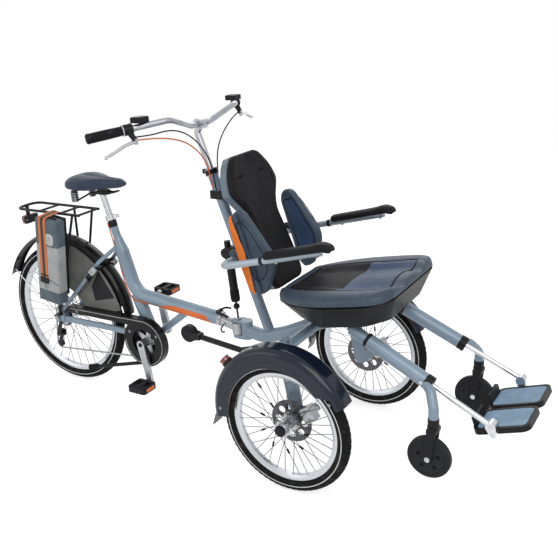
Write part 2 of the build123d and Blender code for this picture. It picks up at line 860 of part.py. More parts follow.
def make_stand_bracket():
    """The plate below the bottom bracket that carries the side stand on a pin."""
    x, z = stand_pivot
    plate = hull([(*bottom_bracket, bracket_shell_radius), (x, z, stand_eye_radius)])
    face = -stand_y + stand_eye_half + slide_gap
    return upright(plate, face, face + stand_wall) + across(x, z, -stand_y - stand_eye_half, face, stand_pin_radius)


def make_side_stand():
    """The folded stand leg with its eye and rubber foot."""
    x, z = stand_pivot
    foot = Vector(*stand_foot)
    leg = across(x, z, -stand_y - stand_eye_half, -stand_y + stand_eye_half, stand_eye_radius)
    leg += rod(Vector(x, -stand_y, z), foot, stand_leg_radius)
    leg += rod(foot, foot + (foot - Vector(x, -stand_y, z)).normalized() * stand_foot_length, stand_foot_radius)
    return leg - across(x, z, -stand_y - stand_eye_half - cut_over, -stand_y + stand_eye_half + cut_over,
                        stand_pin_radius + run_gap)


def make_rear_mudguard():
    """The curved guard over the rear wheel with its two pairs of wire stays."""
    low = guard_radius - guard_sag
    half = guard_half_width
    outer = make_face([ThreePointArc((low, -half), (guard_radius, 0), (low, half)),
                       Line((low, half), (low - guard_wall, half)),
                       ThreePointArc((low - guard_wall, half), (guard_radius - guard_wall, 0), (low - guard_wall, -half)),
                       Line((low - guard_wall, -half), (low, -half))])
    guard = band(outer, guard_centre[0], guard_centre[1], guard_start_degrees, guard_end_degrees)
    foot_y = dropout_y + dropout_width + guard_stay_radius + guard_stay_space
    for angle in guard_stay_degrees:
        turn = radians(angle)
        for side in (-1, 1):
            foot = (-wheelbase + guard_stay_foot * cos(turn), side * foot_y, rear_wheel_radius + guard_stay_foot * sin(turn))
            head = (guard_centre[0] + low * cos(turn), side * (half - guard_stay_radius / 2),
                    guard_centre[1] + (low - guard_wall / 2) * sin(turn))
            guard += rod(foot, head, guard_stay_radius)
    return guard


def make_coat_guards():
    """A thin panel on each side of the wheel's upper front that keeps coats out of the spokes."""
    sheet = Rectangle(coat_outer - coat_inner, coat_wall)
    sheet = Pos((coat_outer + coat_inner) / 2, coat_y) * sheet
    return both(band(sheet, -wheelbase, rear_wheel_radius, coat_start_degrees, coat_end_degrees))


def make_rear_rack():
    """Tube rack: a looped deck frame, cross bars, two pairs of legs and the rail that carries the battery."""
    half = rack_half_width
    loop = [(rack_front_x, -half, rack_z), (rack_rear_x, -half, rack_z), (rack_rear_x, half, rack_z),
            (rack_front_x, half, rack_z)]
    rack = bent(loop, [rack_bend, rack_bend], Circle(rack_radius))
    for share in rack_bar_shares:
        x = rack_front_x + (rack_rear_x - rack_front_x) * share
        rack += rod((x, -half, rack_z), (x, half, rack_z), rack_bar_radius)
    face = dropout_y + dropout_width + seat_gap
    foot_y = face + rack_radius + rack_foot_space
    foot = (-wheelbase + dropout_radius, rear_wheel_radius + dropout_radius)
    for side in (-1, 1):
        for leg_x in rack_leg_places:
            rack += rod((leg_x, side * half, rack_z), (foot[0], side * foot_y, foot[1]), rack_leg_radius)
        low, high = sorted((side * face, side * (foot_y + rack_radius)))
        rack += across(*foot, low, high, rack_foot_radius)
    lamp_x, lamp_z = lamp_place
    rack += block((rack_rear_x - lamp_tab_half, -lamp_tab_half * 2, lamp_z + lamp_size[2] / 2 + seat_gap),
                  (rack_rear_x + lamp_tab_half, lamp_tab_half * 2, rack_z))
    return rack + battery_rail()


def battery_rail():
    """The dark rail between the rack legs and the battery."""
    length, width, height = battery_size
    rail = Pos(0, width / 2 + holder_width / 2 + seat_gap, holder_low) * Box(
        length * holder_share, holder_width, height - holder_low, align=(Align.CENTER, Align.CENTER, Align.MIN))
    return Pos(*battery_low) * Rot(0, battery_lean_degrees, 0) * rail


def make_battery():
    """The upright battery pack on the right of the rack, leaning a little forward."""
    length, width, height = battery_size
    body = Box(length, width, height, align=(Align.CENTER, Align.CENTER, Align.MIN))
    body = fillet(body.edges().filter_by(Axis.Z), battery_round)
    x, y, z = battery_low
    return Pos(x, y, z) * Rot(0, battery_lean_degrees, 0) * body


def make_rack_lamp():
    """The small lamp that hangs below the rear loop of the rack."""
    x, z = lamp_place
    body = Pos(x, 0, z) * Box(*lamp_size)
    return fillet(body.edges().filter_by(Axis.Z), lamp_size[0] / 4)


def make_chair_frame():
    """Curved tube under the seat with the yoke at its rear, cross beam, axle carriers and stub axles."""
    frame = bent(chair_tube_route, chair_tube_bends, Circle(chair_tube_radius))
    beam_x, beam_z = cross_beam
    frame += across(beam_x, beam_z, -cross_beam_half, cross_beam_half, cross_beam_radius)
    front = chair_tube_route[-1]
    frame += across(front[0], front[2], -side_tube_y, side_tube_y, front_beam_radius)
    for side in (-1, 1):
        inner, outer = cross_beam_half - carrier_width, cross_beam_half
        low, high = sorted((side * inner, side * outer))
        plate = hull([(beam_x, beam_z, carrier_half_length), (0, front_wheel_radius, carrier_low)])
        plate += hull([(beam_x, beam_z, carrier_half_length), (*fender_peg, carrier_top)])
        plate += hull([(0, front_wheel_radius, carrier_low), (*caliper_place(), caliper_arm)])
        frame += upright(plate, low, high)
        end = half_track + front_axle_reach
        low, high = sorted((side * inner, side * end))
        frame += across(0, front_wheel_radius, low, high, front_axle_radius)
        low, high = sorted((side * inner, side * (half_track - front_hub_inner - slide_gap)))
        frame += across(0, front_wheel_radius, low, high, axle_collar_radius)
        low, high = sorted((side * inner, side * (half_track - fender_half_width - seat_gap)))
        frame += across(fender_peg[0], fender_peg[1], low, high, fender_peg_radius)
    low_plate = pivot_eye_bottom - yoke_gap
    high_plate = pivot_eye_top + yoke_gap
    wall_x = pivot_x + eye_radius + yoke_gap
    yoke = hull([(pivot_x, 0, yoke_round), (wall_x + yoke_wall, 0, yoke_round)])
    yoke_depth = high_plate + yoke_plate - low_plate + yoke_low_plate
    yoke = extrude(Pos(0, 0, low_plate - yoke_low_plate) * yoke, amount=yoke_depth)
    yoke -= block((pivot_x - yoke_round - cut_over, -yoke_round - cut_over, low_plate),
                  (wall_x, yoke_round + cut_over, high_plate))
    frame += yoke
    for side in (-1, 1):
        frame += make_side_tube(side)
    return frame - rod((pivot_x, 0, low_plate - yoke_low_plate - cut_over), (pivot_x, 0, high_plate + yoke_plate + cut_over),
                       pivot_pin_radius + seat_gap)


def make_pivot_pin():
    """The upright pin through yoke and eye, with a head below and above."""
    low = pivot_eye_bottom - yoke_gap - yoke_low_plate - seat_gap
    high = pivot_eye_top + yoke_gap + yoke_plate + seat_gap
    pin = rod((pivot_x, 0, low - pin_head), (pivot_x, 0, high + pin_head), pivot_pin_radius)
    pin += rod((pivot_x, 0, low - pin_head), (pivot_x, 0, low), pin_head_radius)
    return pin + rod((pivot_x, 0, high), (pivot_x, 0, high + pin_head), pin_head_radius)


def make_side_tube(side):
    """The large tube that runs forward and down from under the seat, with a caster leg below its end."""
    rear_x, rear_z = chair_tube_route[-1][0], chair_tube_route[-1][2]
    front = point(side_tube_front, side * side_tube_front_y)
    rear = Vector(rear_x, side * side_tube_y, rear_z)
    along = (front - rear).normalized()
    tube = rod(rear, rear + along * side_tube_lap, inner_tube_radius)
    tube += rod(rear + along * side_tube_lap, front, side_tube_radius)
    bore_start = front - along * footrest_depth
    tube -= rod(bore_start, front + along * cut_over, footrest_rod_radius + seat_gap)
    leg_start = front - along * caster_leg_back
    leg = [tuple(leg_start), (caster_x - caster_leg_step, side * (side_tube_front_y + caster_y) / 2,
                              leg_start.Z - caster_leg_step),
           (caster_x, side * caster_y, caster_leg_end + caster_leg_drop), (caster_x, side * caster_y, caster_leg_end)]
    leg_solid = bent(leg, list(caster_leg_bends), Circle(caster_leg_radius))
    leg_solid -= rod(bore_start, front + along * caster_leg_radius * 2, footrest_rod_radius + seat_gap)
    leg_solid -= rod((caster_x, side * caster_y, caster_leg_end - cut_over),
                     (caster_x, side * caster_y, caster_leg_end + caster_stem_length), caster_stem_radius + run_gap)
    return tube + leg_solid


def make_footrest_rod(side):
    """The chrome rod that slides out of the side tube and ends in the knuckle that carries its footplate."""
    end, along = footrest_end(side)
    start = end - along * (footrest_reach + footrest_depth - slide_gap)
    foot = plate_plane().from_local_coords(Vector(knuckle_ahead, 0, plate_thick / 2))
    low, high = sorted((side * (plate_outer + seat_gap), side * knuckle_outer))
    knuckle = upright(hull([(end.X, end.Z, knuckle_radius), (foot.X, foot.Z, plate_thick / 2)]), low, high)
    return rod(start, end, footrest_rod_radius) + knuckle


def make_caster_fork(side):
    """Caster stem, crown and two legs down to the small wheel."""
    top = caster_leg_end - seat_gap
    crown = top - caster_crown_height
    x, y = caster_x, side * caster_y
    hub = (x - caster_trail, caster_hub_z)
    reach = caster_wheel_width / 2 + caster_leg_gap + caster_leg_wall
    fork = block((x - caster_bridge_half, y - reach, crown - caster_bridge), (x + caster_bridge_half, y + reach, crown))
    fork += rod((x, y, crown - caster_bridge / 2), (x, y, top), caster_crown_radius)
    fork += rod((x, y, crown), (x, y, top + caster_stem_length - slide_gap), caster_stem_radius)
    for end in (-1, 1):
        inner = y + end * (caster_wheel_width / 2 + caster_leg_gap)
        outer = y + end * (reach + seat_gap)
        leg = hull([(x, crown - caster_bridge / 2, caster_leg_root), (hub[0], hub[1], caster_eye_radius)])
        fork += upright(leg, min(inner, outer), max(inner, outer))
    return fork + across(hub[0], hub[1], y - reach, y + reach, caster_pin_radius)


def make_caster_wheel(side):
    """Small solid wheel with five round openings."""
    x, z = caster_x - caster_trail, caster_hub_z
    y = side * caster_y
    half = caster_wheel_width / 2
    wheel = across(x, z, y - half, y + half, caster_wheel_radius)
    wheel = fillet(wheel.edges(), caster_tread_round)
    for number in range(caster_holes):
        turn = radians(90 + number * 360 / caster_holes)
        wheel -= across(x + caster_hole_ring * cos(turn), z + caster_hole_ring * sin(turn), y - half - cut_over,
                        y + half + cut_over, caster_hole_radius)
    return wheel - across(x, z, y - half - cut_over, y + half + cut_over, caster_pin_radius + run_gap)


def footrest_end(side):
    """The end of a footrest rod and its forward direction."""
    rear = Vector(chair_tube_route[-1][0], side * side_tube_y, chair_tube_route[-1][2])
    front = point(side_tube_front, side * side_tube_front_y)
    along = (front - rear).normalized()
    return front + along * footrest_reach, along


def plate_plane():
    """The tilted plane of both footplates, along x forward and y to the left."""
    tilt = radians(plate_tilt_degrees)
    end = footrest_end(1)[0]
    return Plane(origin=(end.X, 0, end.Z + plate_drop), x_dir=(cos(tilt), 0, sin(tilt)), z_dir=(-sin(tilt), 0, cos(tilt)))


def make_footplate(side):
    """A raised-edge tray that folds up about its outer edge, with its hinge barrel."""
    plane = plate_plane()
    width = plate_outer - plate_inner
    face = Pos(plate_ahead, side * (plate_inner + width / 2)) * RectangleRounded(plate_length, width, plate_round)
    well = Pos(plate_ahead, side * (plate_inner + width / 2)) * RectangleRounded(
        plate_length - plate_rim * 2, width - plate_rim * 2, plate_round - plate_rim)
    tray = extrude(plane * face, amount=plate_thick)
    tray -= extrude(plane.offset(plate_thick - plate_well) * well, amount=plate_well + cut_over)
    heel = Pos(plate_ahead - plate_length / 2 + plate_rim / 2, side * (plate_inner + width / 2)) * Rectangle(
        plate_rim, width - plate_round * 2)
    tray += extrude(plane * heel, amount=plate_thick + heel_height)
    return tray


def make_foot_pad(side):
    """The light blue pad that lies in the tray."""
    plane = plate_plane()
    width = plate_outer - plate_inner
    inset = plate_rim + seat_gap
    face = Pos(plate_ahead, side * (plate_inner + width / 2)) * RectangleRounded(
        plate_length - inset * 2, width - inset * 2, plate_round - inset)
    return extrude(plane.offset(plate_thick - plate_well + seat_gap) * face, amount=plate_well)


def seat_plane(height=0.0):
    """The tilted plane of the seat, raised by a height."""
    tilt = radians(seat_tilt_degrees)
    return Plane(origin=(seat_rear[0], 0, seat_rear[1]), x_dir=(cos(tilt), 0, sin(tilt)),
                 z_dir=(-sin(tilt), 0, cos(tilt))).offset(height)


def seat_outline(inset):
    """The seat seen from above, narrow at the rear and widest at the thighs."""
    places = [(seat_length * along, seat_half_width * wide) for along, wide in seat_outline_shares]
    left = [(x + (inset if x < seat_length / 2 else -inset), y - inset) for x, y in places]
    right = [(x, -y) for x, y in reversed(left)]
    face = make_face(Polyline(*left, *right, close=True))
    return fillet(face.vertices(), seat_corner)


def make_seat_pan():
    """The deep moulded pan under the seat, hollowed where it sits on the frame's tube and beam."""
    low = seat_plane(0) * seat_outline(pan_inset)
    high = seat_plane(pan_depth) * seat_outline(0)
    pan = loft([low, high]) - bent(chair_tube_route, chair_tube_bends, Circle(chair_tube_radius + seat_gap))
    front = chair_tube_route[-1]
    pan -= across(front[0], front[2], -side_tube_y - inner_tube_radius * 2, side_tube_y + inner_tube_radius * 2,
                  front_beam_radius + seat_gap)
    for side in (-1, 1):
        end, along = footrest_end(side)
        rear = Vector(front[0], side * side_tube_y, front[2])
        pan -= rod(rear - along * inner_tube_radius, end, side_tube_radius + seat_gap)
    return pan


def make_seat_cushion():
    """The padded seat with a rear well and two thigh troughs."""
    low = seat_plane(pan_depth + seat_gap) * seat_outline(0)
    high = seat_plane(pan_depth + cushion_depth) * seat_outline(cushion_inset)
    cushion = loft([low, high])
    for side in (-1, 1):
        plane = seat_plane(pan_depth + cushion_depth + trough_radius - trough_depth)
        start = plane.from_local_coords(Vector(seat_length * trough_start_share, side * trough_y, 0))
        end = plane.from_local_coords(Vector(seat_length + cut_over, side * trough_y * trough_spread_share, 0))
        cushion -= rod(start, end, trough_radius)
    return cushion


def back_plane(forward=0.0):
    """The reclined plane of the backrest: first along the left, then up the back, facing forward."""
    lean = radians(back_lean_degrees)
    plane = Plane(origin=(back_foot[0], 0, back_foot[1]), x_dir=(0, 1, 0), z_dir=(cos(lean), 0, sin(lean)))
    return plane.offset(forward)


def back_outline(inset):
    """The backrest seen from the front: pointed foot, waist and wide shoulders."""
    left = [(half - inset, up * back_height) for half, up in back_outline_places]
    right = [(-x, z) for x, z in reversed(left)]
    face = make_face(Polyline(*left, *right, close=True))
    return fillet(face.vertices(), back_corner)


def make_backrest_shell():
    """The moulded shell behind the back padding."""
    rear = back_plane(-back_shell_depth) * back_outline(back_shell_inset)
    front = back_plane(0) * back_outline(0)
    return loft([rear, front])


def make_backrest_cushion():
    """The black padding on the front of the backrest with two slots through its head."""
    face = back_outline(back_pad_inset)
    pad = extrude(back_plane(seat_gap) * face, amount=back_pad_depth)
    for side in (-1, 1):
        slot = Pos(side * slot_y, slot_up) * RectangleRounded(slot_size[0], slot_size[1], slot_size[1] * slot_round_share)
        pad -= extrude(back_plane(back_pad_depth / 2) * slot, amount=back_pad_depth)
    return pad


def side_pad_face(inset):
    """The leaf outline of a side pad, along forward and up the back."""
    places = [(forward, up) for forward, up in side_pad_places]
    face = make_face(Polyline(*places, close=True))
    face = fillet(face.vertices(), side_pad_corner)
    return offset(face, amount=-inset) if inset else face


def side_plane(y):
    """The plane of a side pad at a y: first forward out of the back, then up the back."""
    lean = radians(side_lean_degrees)
    return Plane(origin=(side_foot[0], y, side_foot[1]), x_dir=(cos(lean), 0, sin(lean)), z_dir=(0, -1, 0))


def make_side_pads():
    """The padding of both side supports."""
    return both(extrude(side_plane(side_pad_inner + side_pad_depth) * side_pad_face(0), amount=side_pad_depth))


def make_side_shells():
    """The hard strip along each side support's outer rear edge, joined by a bar behind the backrest."""
    inner = side_pad_inner + side_pad_depth + seat_gap
    outer = inner + side_shell_depth
    strip = Pos(0, back_height / 2) * Rectangle(side_shell_reach * 2, back_height)
    face = side_pad_face(side_shell_inset) & strip
    shell = extrude(side_plane(outer) * face, amount=side_shell_depth)
    shell += upright(hull([(*side_bar_place, side_ear_radius), (*side_ear, side_ear_radius)]), inner, outer)
    left, right = left_and_right(shell)
    return across(*side_bar_place, -inner - side_bar_radius, inner + side_bar_radius, side_bar_radius) + left + right


def post_at(z):
    """The place on the handlebar post's centre at a height."""
    share = (z - front_post_bottom[1]) / (front_post_top[1] - front_post_bottom[1])
    return Vector(front_post_bottom[0] + (front_post_top[0] - front_post_bottom[0]) * share, 0, z)


def make_handlebar_post():
    """The leaning outer tube of the handlebar post with its foot cut to the frame tube."""
    post = rod(point(front_post_bottom), point(front_post_top), front_post_radius)
    post -= bent(chair_tube_route, chair_tube_bends, Circle(chair_tube_radius + seat_gap))
    top = point(front_post_top)
    down = (point(front_post_bottom) - top).normalized()
    return post - rod(top - down * cut_over, top + down * stem_inside, stem_radius + seat_gap)


def make_stem():
    """The inner stem, its collar on the post and the clamp at its head."""
    top = point(front_post_top)
    down = (point(front_post_bottom) - top).normalized()
    head = top - down * stem_rise
    stem = bent([tuple(top + down * (stem_inside - slide_gap)), tuple(head), (bar_centre[0], 0, bar_centre[1])], [stem_bend],
                Circle(stem_radius))
    stem += rod(top - down * seat_gap, top - down * collar_height, collar_radius)
    stem += across(bar_centre[0], bar_centre[1], -clamp_half, clamp_half, bar_clamp_radius)
    return stem - across(bar_centre[0], bar_centre[1], -clamp_half - cut_over, clamp_half + cut_over, bar_radius + seat_gap)


def make_handlebar():
    """The wide swept handlebar."""
    half = [(x, y, z) for x, y, z in bar_places]
    route = [(x, -y, z) for x, y, z in reversed(half)] + half
    return bent(route, list(reversed(bar_bends)) + list(bar_bends), Circle(bar_radius))


def bar_end():
    """The end of the handlebar on the left and the direction from its last bend to the end."""
    end, before = Vector(*bar_places[-1]), Vector(*bar_places[-2])
    return end, (end - before).normalized()


def make_grip():
    """The left rubber grip over the handlebar's end."""
    end, along = bar_end()
    grip = cone(end - along * grip_length, end + along * grip_wall, grip_radius * grip_waist_share, grip_radius)
    return grip - rod(end - along * (grip_length + cut_over), end + along * seat_gap, bar_radius + seat_gap)


def make_control():
    """The left clamp with its brake lever mount and lever."""
    end, along = bar_end()
    start = end - along * (grip_length + seat_gap + control_width)
    root, knee, tip = (Vector(*place) for place in lever_places)
    body = rod(start, start + along * control_width, control_radius)
    body += cone(start + along * control_width / 2, root, control_radius * lever_root_share, lever_root_radius)
    body -= rod(start - along * cut_over, start + along * (control_width + cut_over), bar_radius + seat_gap)
    return body + bent([tuple(root), tuple(knee), tuple(tip)], [lever_bend], Circle(lever_radius))


def make_bar_box():
    """The small box on top of the left side of the bar."""
    body = Pos(*display_place) * Box(*display_size)
    return fillet(body.edges().filter_by(Axis.Z), display_round)


def make_bar_cables():
    """The control cables, from the two brake levers round to the front of the post."""
    return apart(*[cord(route, cable_radius) for route in bar_cable_routes])


def strut_at(z):
    """The place on the strut's centre at a height; its foot stands on the pivot pin."""
    low = pivot_eye_top + yoke_gap + yoke_plate + seat_gap * 2 + pin_head
    share = (z - low) / (strut_top - low)
    return Vector(pivot_x + (strut_head_x - pivot_x) * share, 0, z)


def make_spring_strut():
    """The black strut that stands on the pivot axis and is held to the post by a bracket."""
    low = pivot_eye_top + yoke_gap + yoke_plate + seat_gap * 2 + pin_head
    strut = rod(strut_at(low), strut_at(strut_low), strut_rod_radius) + Pos(*strut_at(strut_ball_z)) * Sphere(strut_ball_radius)
    strut += rod(strut_at(strut_low), strut_at(strut_high), strut_radius)
    return strut + rod(strut_at(strut_high), strut_at(strut_top), strut_head_radius)


def make_strut_bracket():
    """The clamp that joins the strut's head and the armrest cross tube to the post."""
    head = strut_at(bracket_z)
    body = upright(hull([(head.X, bracket_z, strut_head_radius + bracket_wall), (*arm_tube_place, arm_tube_radius + bracket_wall)]),
                   -bracket_half, bracket_half) + make_arm_cross_tube()
    body -= rod(strut_at(bracket_z - bracket_height), strut_at(bracket_z + bracket_height), strut_head_radius + seat_gap)
    return body - rod(post_at(bracket_z - bracket_height * 2), post_at(bracket_z + bracket_height * 2),
                      front_post_radius + seat_gap)


def make_back_mount():
    """The arm from the post to the back of the backrest shell."""
    middle = post_at(back_mount_z)
    shell = back_plane(-back_shell_depth - seat_gap)
    body = block((middle.X - front_post_radius - bracket_wall, -bracket_half, back_mount_z - bracket_height / 2),
                 (back_foot[0], bracket_half, back_mount_z + bracket_height / 2))
    body -= rod(post_at(back_mount_z - bracket_height * 2), post_at(back_mount_z + bracket_height * 2),
                front_post_radius + seat_gap)
    return body - extrude(shell * Rectangle(back_height * 4, back_height * 4), amount=back_height)


def make_arm_cross_tube():
    """The tube behind the backrest that both armrests turn on, bored at its ends."""
    x, z = arm_tube_place
    tube = across(x, z, -arm_tube_half, arm_tube_half, arm_tube_radius)
    bore = arm_spigot_radius + run_gap
    depth = arm_tube_half - arm_spigot - slide_gap
    return tube - across(x, z, -arm_tube_half - cut_over, -depth, bore) - across(x, z, depth, arm_tube_half + cut_over, bore)


def make_armrest(side):
    """One bent armrest tube, coaxial with the cross tube, rising forward under its pad."""
    x, z = arm_tube_place
    inner = arm_tube_half + arm_end_gap
    route = [(x, side * inner, z), (x, side * arm_y, z), (arm_front[0], side * arm_y, arm_front[1])]
    tube = bent(route, [arm_bend], Circle(arm_tube_radius))
    low, high = sorted((side * (arm_tube_half - arm_spigot), side * (inner + arm_spigot_root)))
    return tube + across(x, z, low, high, arm_spigot_radius)


def make_arm_pad(side):
    """The arm pad that sits over the armrest tube."""
    x, z = arm_tube_place
    rear, front = Vector(x, side * arm_y, z), Vector(arm_front[0], side * arm_y, arm_front[1])
    along = (front - rear).normalized()
    up = Vector(-along.Z, 0, along.X)
    middle = front - along * (arm_pad_length / 2 - arm_pad_over) + up * (arm_tube_radius - arm_pad_sink)
    plane = Plane(origin=middle, x_dir=along, z_dir=up)
    body = extrude(plane * RectangleRounded(arm_pad_length, arm_pad_width, arm_pad_width / 2 - slide_gap), amount=arm_pad_height)
    body = fillet(body.faces().sort_by(Axis.Z)[-1].edges(), arm_pad_round)
    return body - rod(rear, front + along * seat_gap, arm_tube_radius + seat_gap)


def make_fender():
    """The wide left front mudguard with a deep skirt on its outer side and a flap at its rear end."""
    width = fender_half_width * 2
    height = fender_radius - fender_skirt_radius
    outer = Pos(fender_radius - height / 2, 0) * Rectangle(height, width)
    outer = fillet(outer.vertices().group_by(Axis.X)[-1], fender_round)
    inner = Pos(fender_radius - fender_wall - height / 2, 0) * Rectangle(height, width - fender_wall * 2)
    inner = fillet(inner.vertices().group_by(Axis.X)[-1], fender_round - fender_wall)
    section = outer - inner
    section -= Pos(fender_skirt_radius + (height - fender_inner_skirt) / 2, -fender_half_width / 2) * Rectangle(
        height - fender_inner_skirt, fender_half_width)
    guard = band(section, fender_centre[0], fender_centre[1], fender_start_degrees, fender_end_degrees, half_track)
    crown = band(Pos(fender_radius - fender_lip / 2, 0) * Rectangle(fender_lip, width + cut_over), fender_centre[0],
                 fender_centre[1], fender_start_degrees - cut_over, fender_end_degrees + cut_over, half_track)
    step = block((fender_step[0], half_track, 0), (fender_radius, half_track + width, fender_step[1]))
    guard -= step - crown
    turn = radians(fender_end_degrees)
    place = fender_radius - fender_wall
    root = Vector(fender_centre[0] + place * cos(turn), half_track + flap_y, fender_centre[1] + place * sin(turn))
    flap = Plane(origin=root, x_dir=(flap_lean, 0, -1), z_dir=(0, 1, 0)) * Pos(flap_length / 2 - fender_wall, 0) * Rectangle(
        flap_length, fender_wall)
    return guard + extrude(flap, amount=flap_width, both=True)


def make_fender_lamp():
    """The round red lamp on the back of the left mudguard."""
    turn = radians(lamp_degrees)
    x = fender_centre[0] + (fender_radius + seat_gap) * cos(turn)
    z = fender_centre[1] + (fender_radius + seat_gap) * sin(turn)
    return rod((x, half_track, z), (x + lamp_length * cos(turn), half_track, z + lamp_length * sin(turn)), lamp_radius)


def caliper_place():
    """The caliper's x and z beside the disc."""
    turn = radians(caliper_degrees)
    return caliper_ring * cos(turn), front_wheel_radius + caliper_ring * sin(turn)


def make_caliper():
    """The brake caliper over the left disc, on the arm of the axle carrier."""
    x, z = caliper_place()
    middle = half_track - disc_place
    body = Pos(x, middle, z) * Rot(0, -caliper_degrees, 0) * Box(*caliper_size)
    body -= across(0, front_wheel_radius, middle - disc_width / 2 - slide_gap, middle + disc_width / 2 + slide_gap,
                   disc_radius + slide_gap)
    body += across(x, z, cross_beam_half + seat_gap, middle - caliper_size[1] / 2 + slide_gap, caliper_arm)
    return body


def make_anti_tip():
    """The rear support tube on the right with a fork for its small wheel."""
    start, end = Vector(*anti_tip_front), Vector(*anti_tip_rear)
    arm = rod(start, end, anti_tip_radius)
    y = anti_tip_rear[1]
    half = anti_tip_wheel_width / 2 + slide_gap
    outside = half + anti_tip_wall
    for side in (-1, 1):
        inner, outer = y + side * half, y + side * outside
        cheek = hull([(end.X, end.Z, anti_tip_root), (anti_tip_wheel_place[0], anti_tip_wheel_place[1], anti_tip_eye)])
        arm += upright(cheek, min(inner, outer), max(inner, outer))
    arm += block((end.X, y - outside - seat_gap, end.Z - anti_tip_radius),
                 (end.X + anti_tip_radius * 2, y + outside + seat_gap, end.Z + anti_tip_radius))
    arm += across(anti_tip_wheel_place[0], anti_tip_wheel_place[1], y - outside, y + outside, anti_tip_pin)
    beam_x, beam_z = cross_beam
    arm += rod(start, Vector(beam_x, start.Y, beam_z), anti_tip_radius)
    arm -= across(beam_x, beam_z, start.Y - anti_tip_radius * 2, start.Y + anti_tip_radius * 2, cross_beam_radius + seat_gap)
    arm -= across(anti_tip_wheel_place[0], anti_tip_wheel_place[1], y - half, y + half, anti_tip_wheel_radius + slide_gap)
    return max(arm.solids(), key=lambda solid: solid.volume) + across(
        anti_tip_wheel_place[0], anti_tip_wheel_place[1], y - outside, y + outside, anti_tip_pin)


def make_anti_tip_wheel():
    """The small wheel at the end of the rear support tube."""
    x, z = anti_tip_wheel_place
    y = anti_tip_rear[1]
    half = anti_tip_wheel_width / 2
    wheel = across(x, z, y - half, y + half, anti_tip_wheel_radius)
    return wheel - across(x, z, y - half - cut_over, y + half + cut_over, anti_tip_pin + run_gap)


def make_ring_lock():
    """The ring lock and rim brake over the rear wheel, held between the stays."""
    body = Cylinder(lock_outer, lock_width) - Cylinder(lock_inner, lock_width + cut_over)
    body -= Pos(-lock_outer, 0, 0) * Box(lock_outer * 2 * lock_open_share, lock_mouth, lock_width + cut_over)
    turn = radians(lock_degrees)
    place = Plane(origin=(-wheelbase + lock_ring * cos(turn), 0, rear_wheel_radius + lock_ring * sin(turn)),
                  x_dir=(cos(turn), 0, sin(turn)), z_dir=(-sin(turn), 0, cos(turn)))
    body = place * body
    for side in (-1, 1):
        body -= bent(stay_route(side), [stay_bend], Circle(stay_radius + seat_gap))
    return max(body.solids(), key=lambda solid: solid.volume)


def stay_route(side):
    """The run of a seat stay on one side, from the seat tube down to the dropout."""
    route = [(x, side * y, z) for x, y, z in (stay_top, stay_knee)]
    route.append((-wheelbase + dropout_radius / 2, side * stay_end_y, rear_wheel_radius + dropout_radius))
    return route


def make_straps():
    """Three flat straps over the deck and down the outside of the battery."""
    length, width, height = battery_size
    x, y, z = battery_low
    straps = []
    lean = radians(battery_lean_degrees)
    for number in range(3):
        shift = (number - 1) * (strap_width + slide_gap) - length * strap_back_share
        body = Pos(shift, -width / 2 - strap_wall / 2 - seat_gap, height * strap_low_share) * Box(
            strap_width, strap_wall, height * (1 - strap_low_share), align=(Align.CENTER, Align.CENTER, Align.MIN))
        straps += (Pos(x, y, z) * Rot(0, battery_lean_degrees, 0) * body).solids()
    return Compound(children=straps)


pieces = {}
half_track = track / 2


def keep(name, shape):
    """Notes a finished piece under its name."""
    pieces[name] = shape


def keep_pair(name, shape):
    """Notes a left piece and its mirror image."""
    left, right = left_and_right(shape)
    keep(name + "_left", left)
    keep(name + "_right", right)


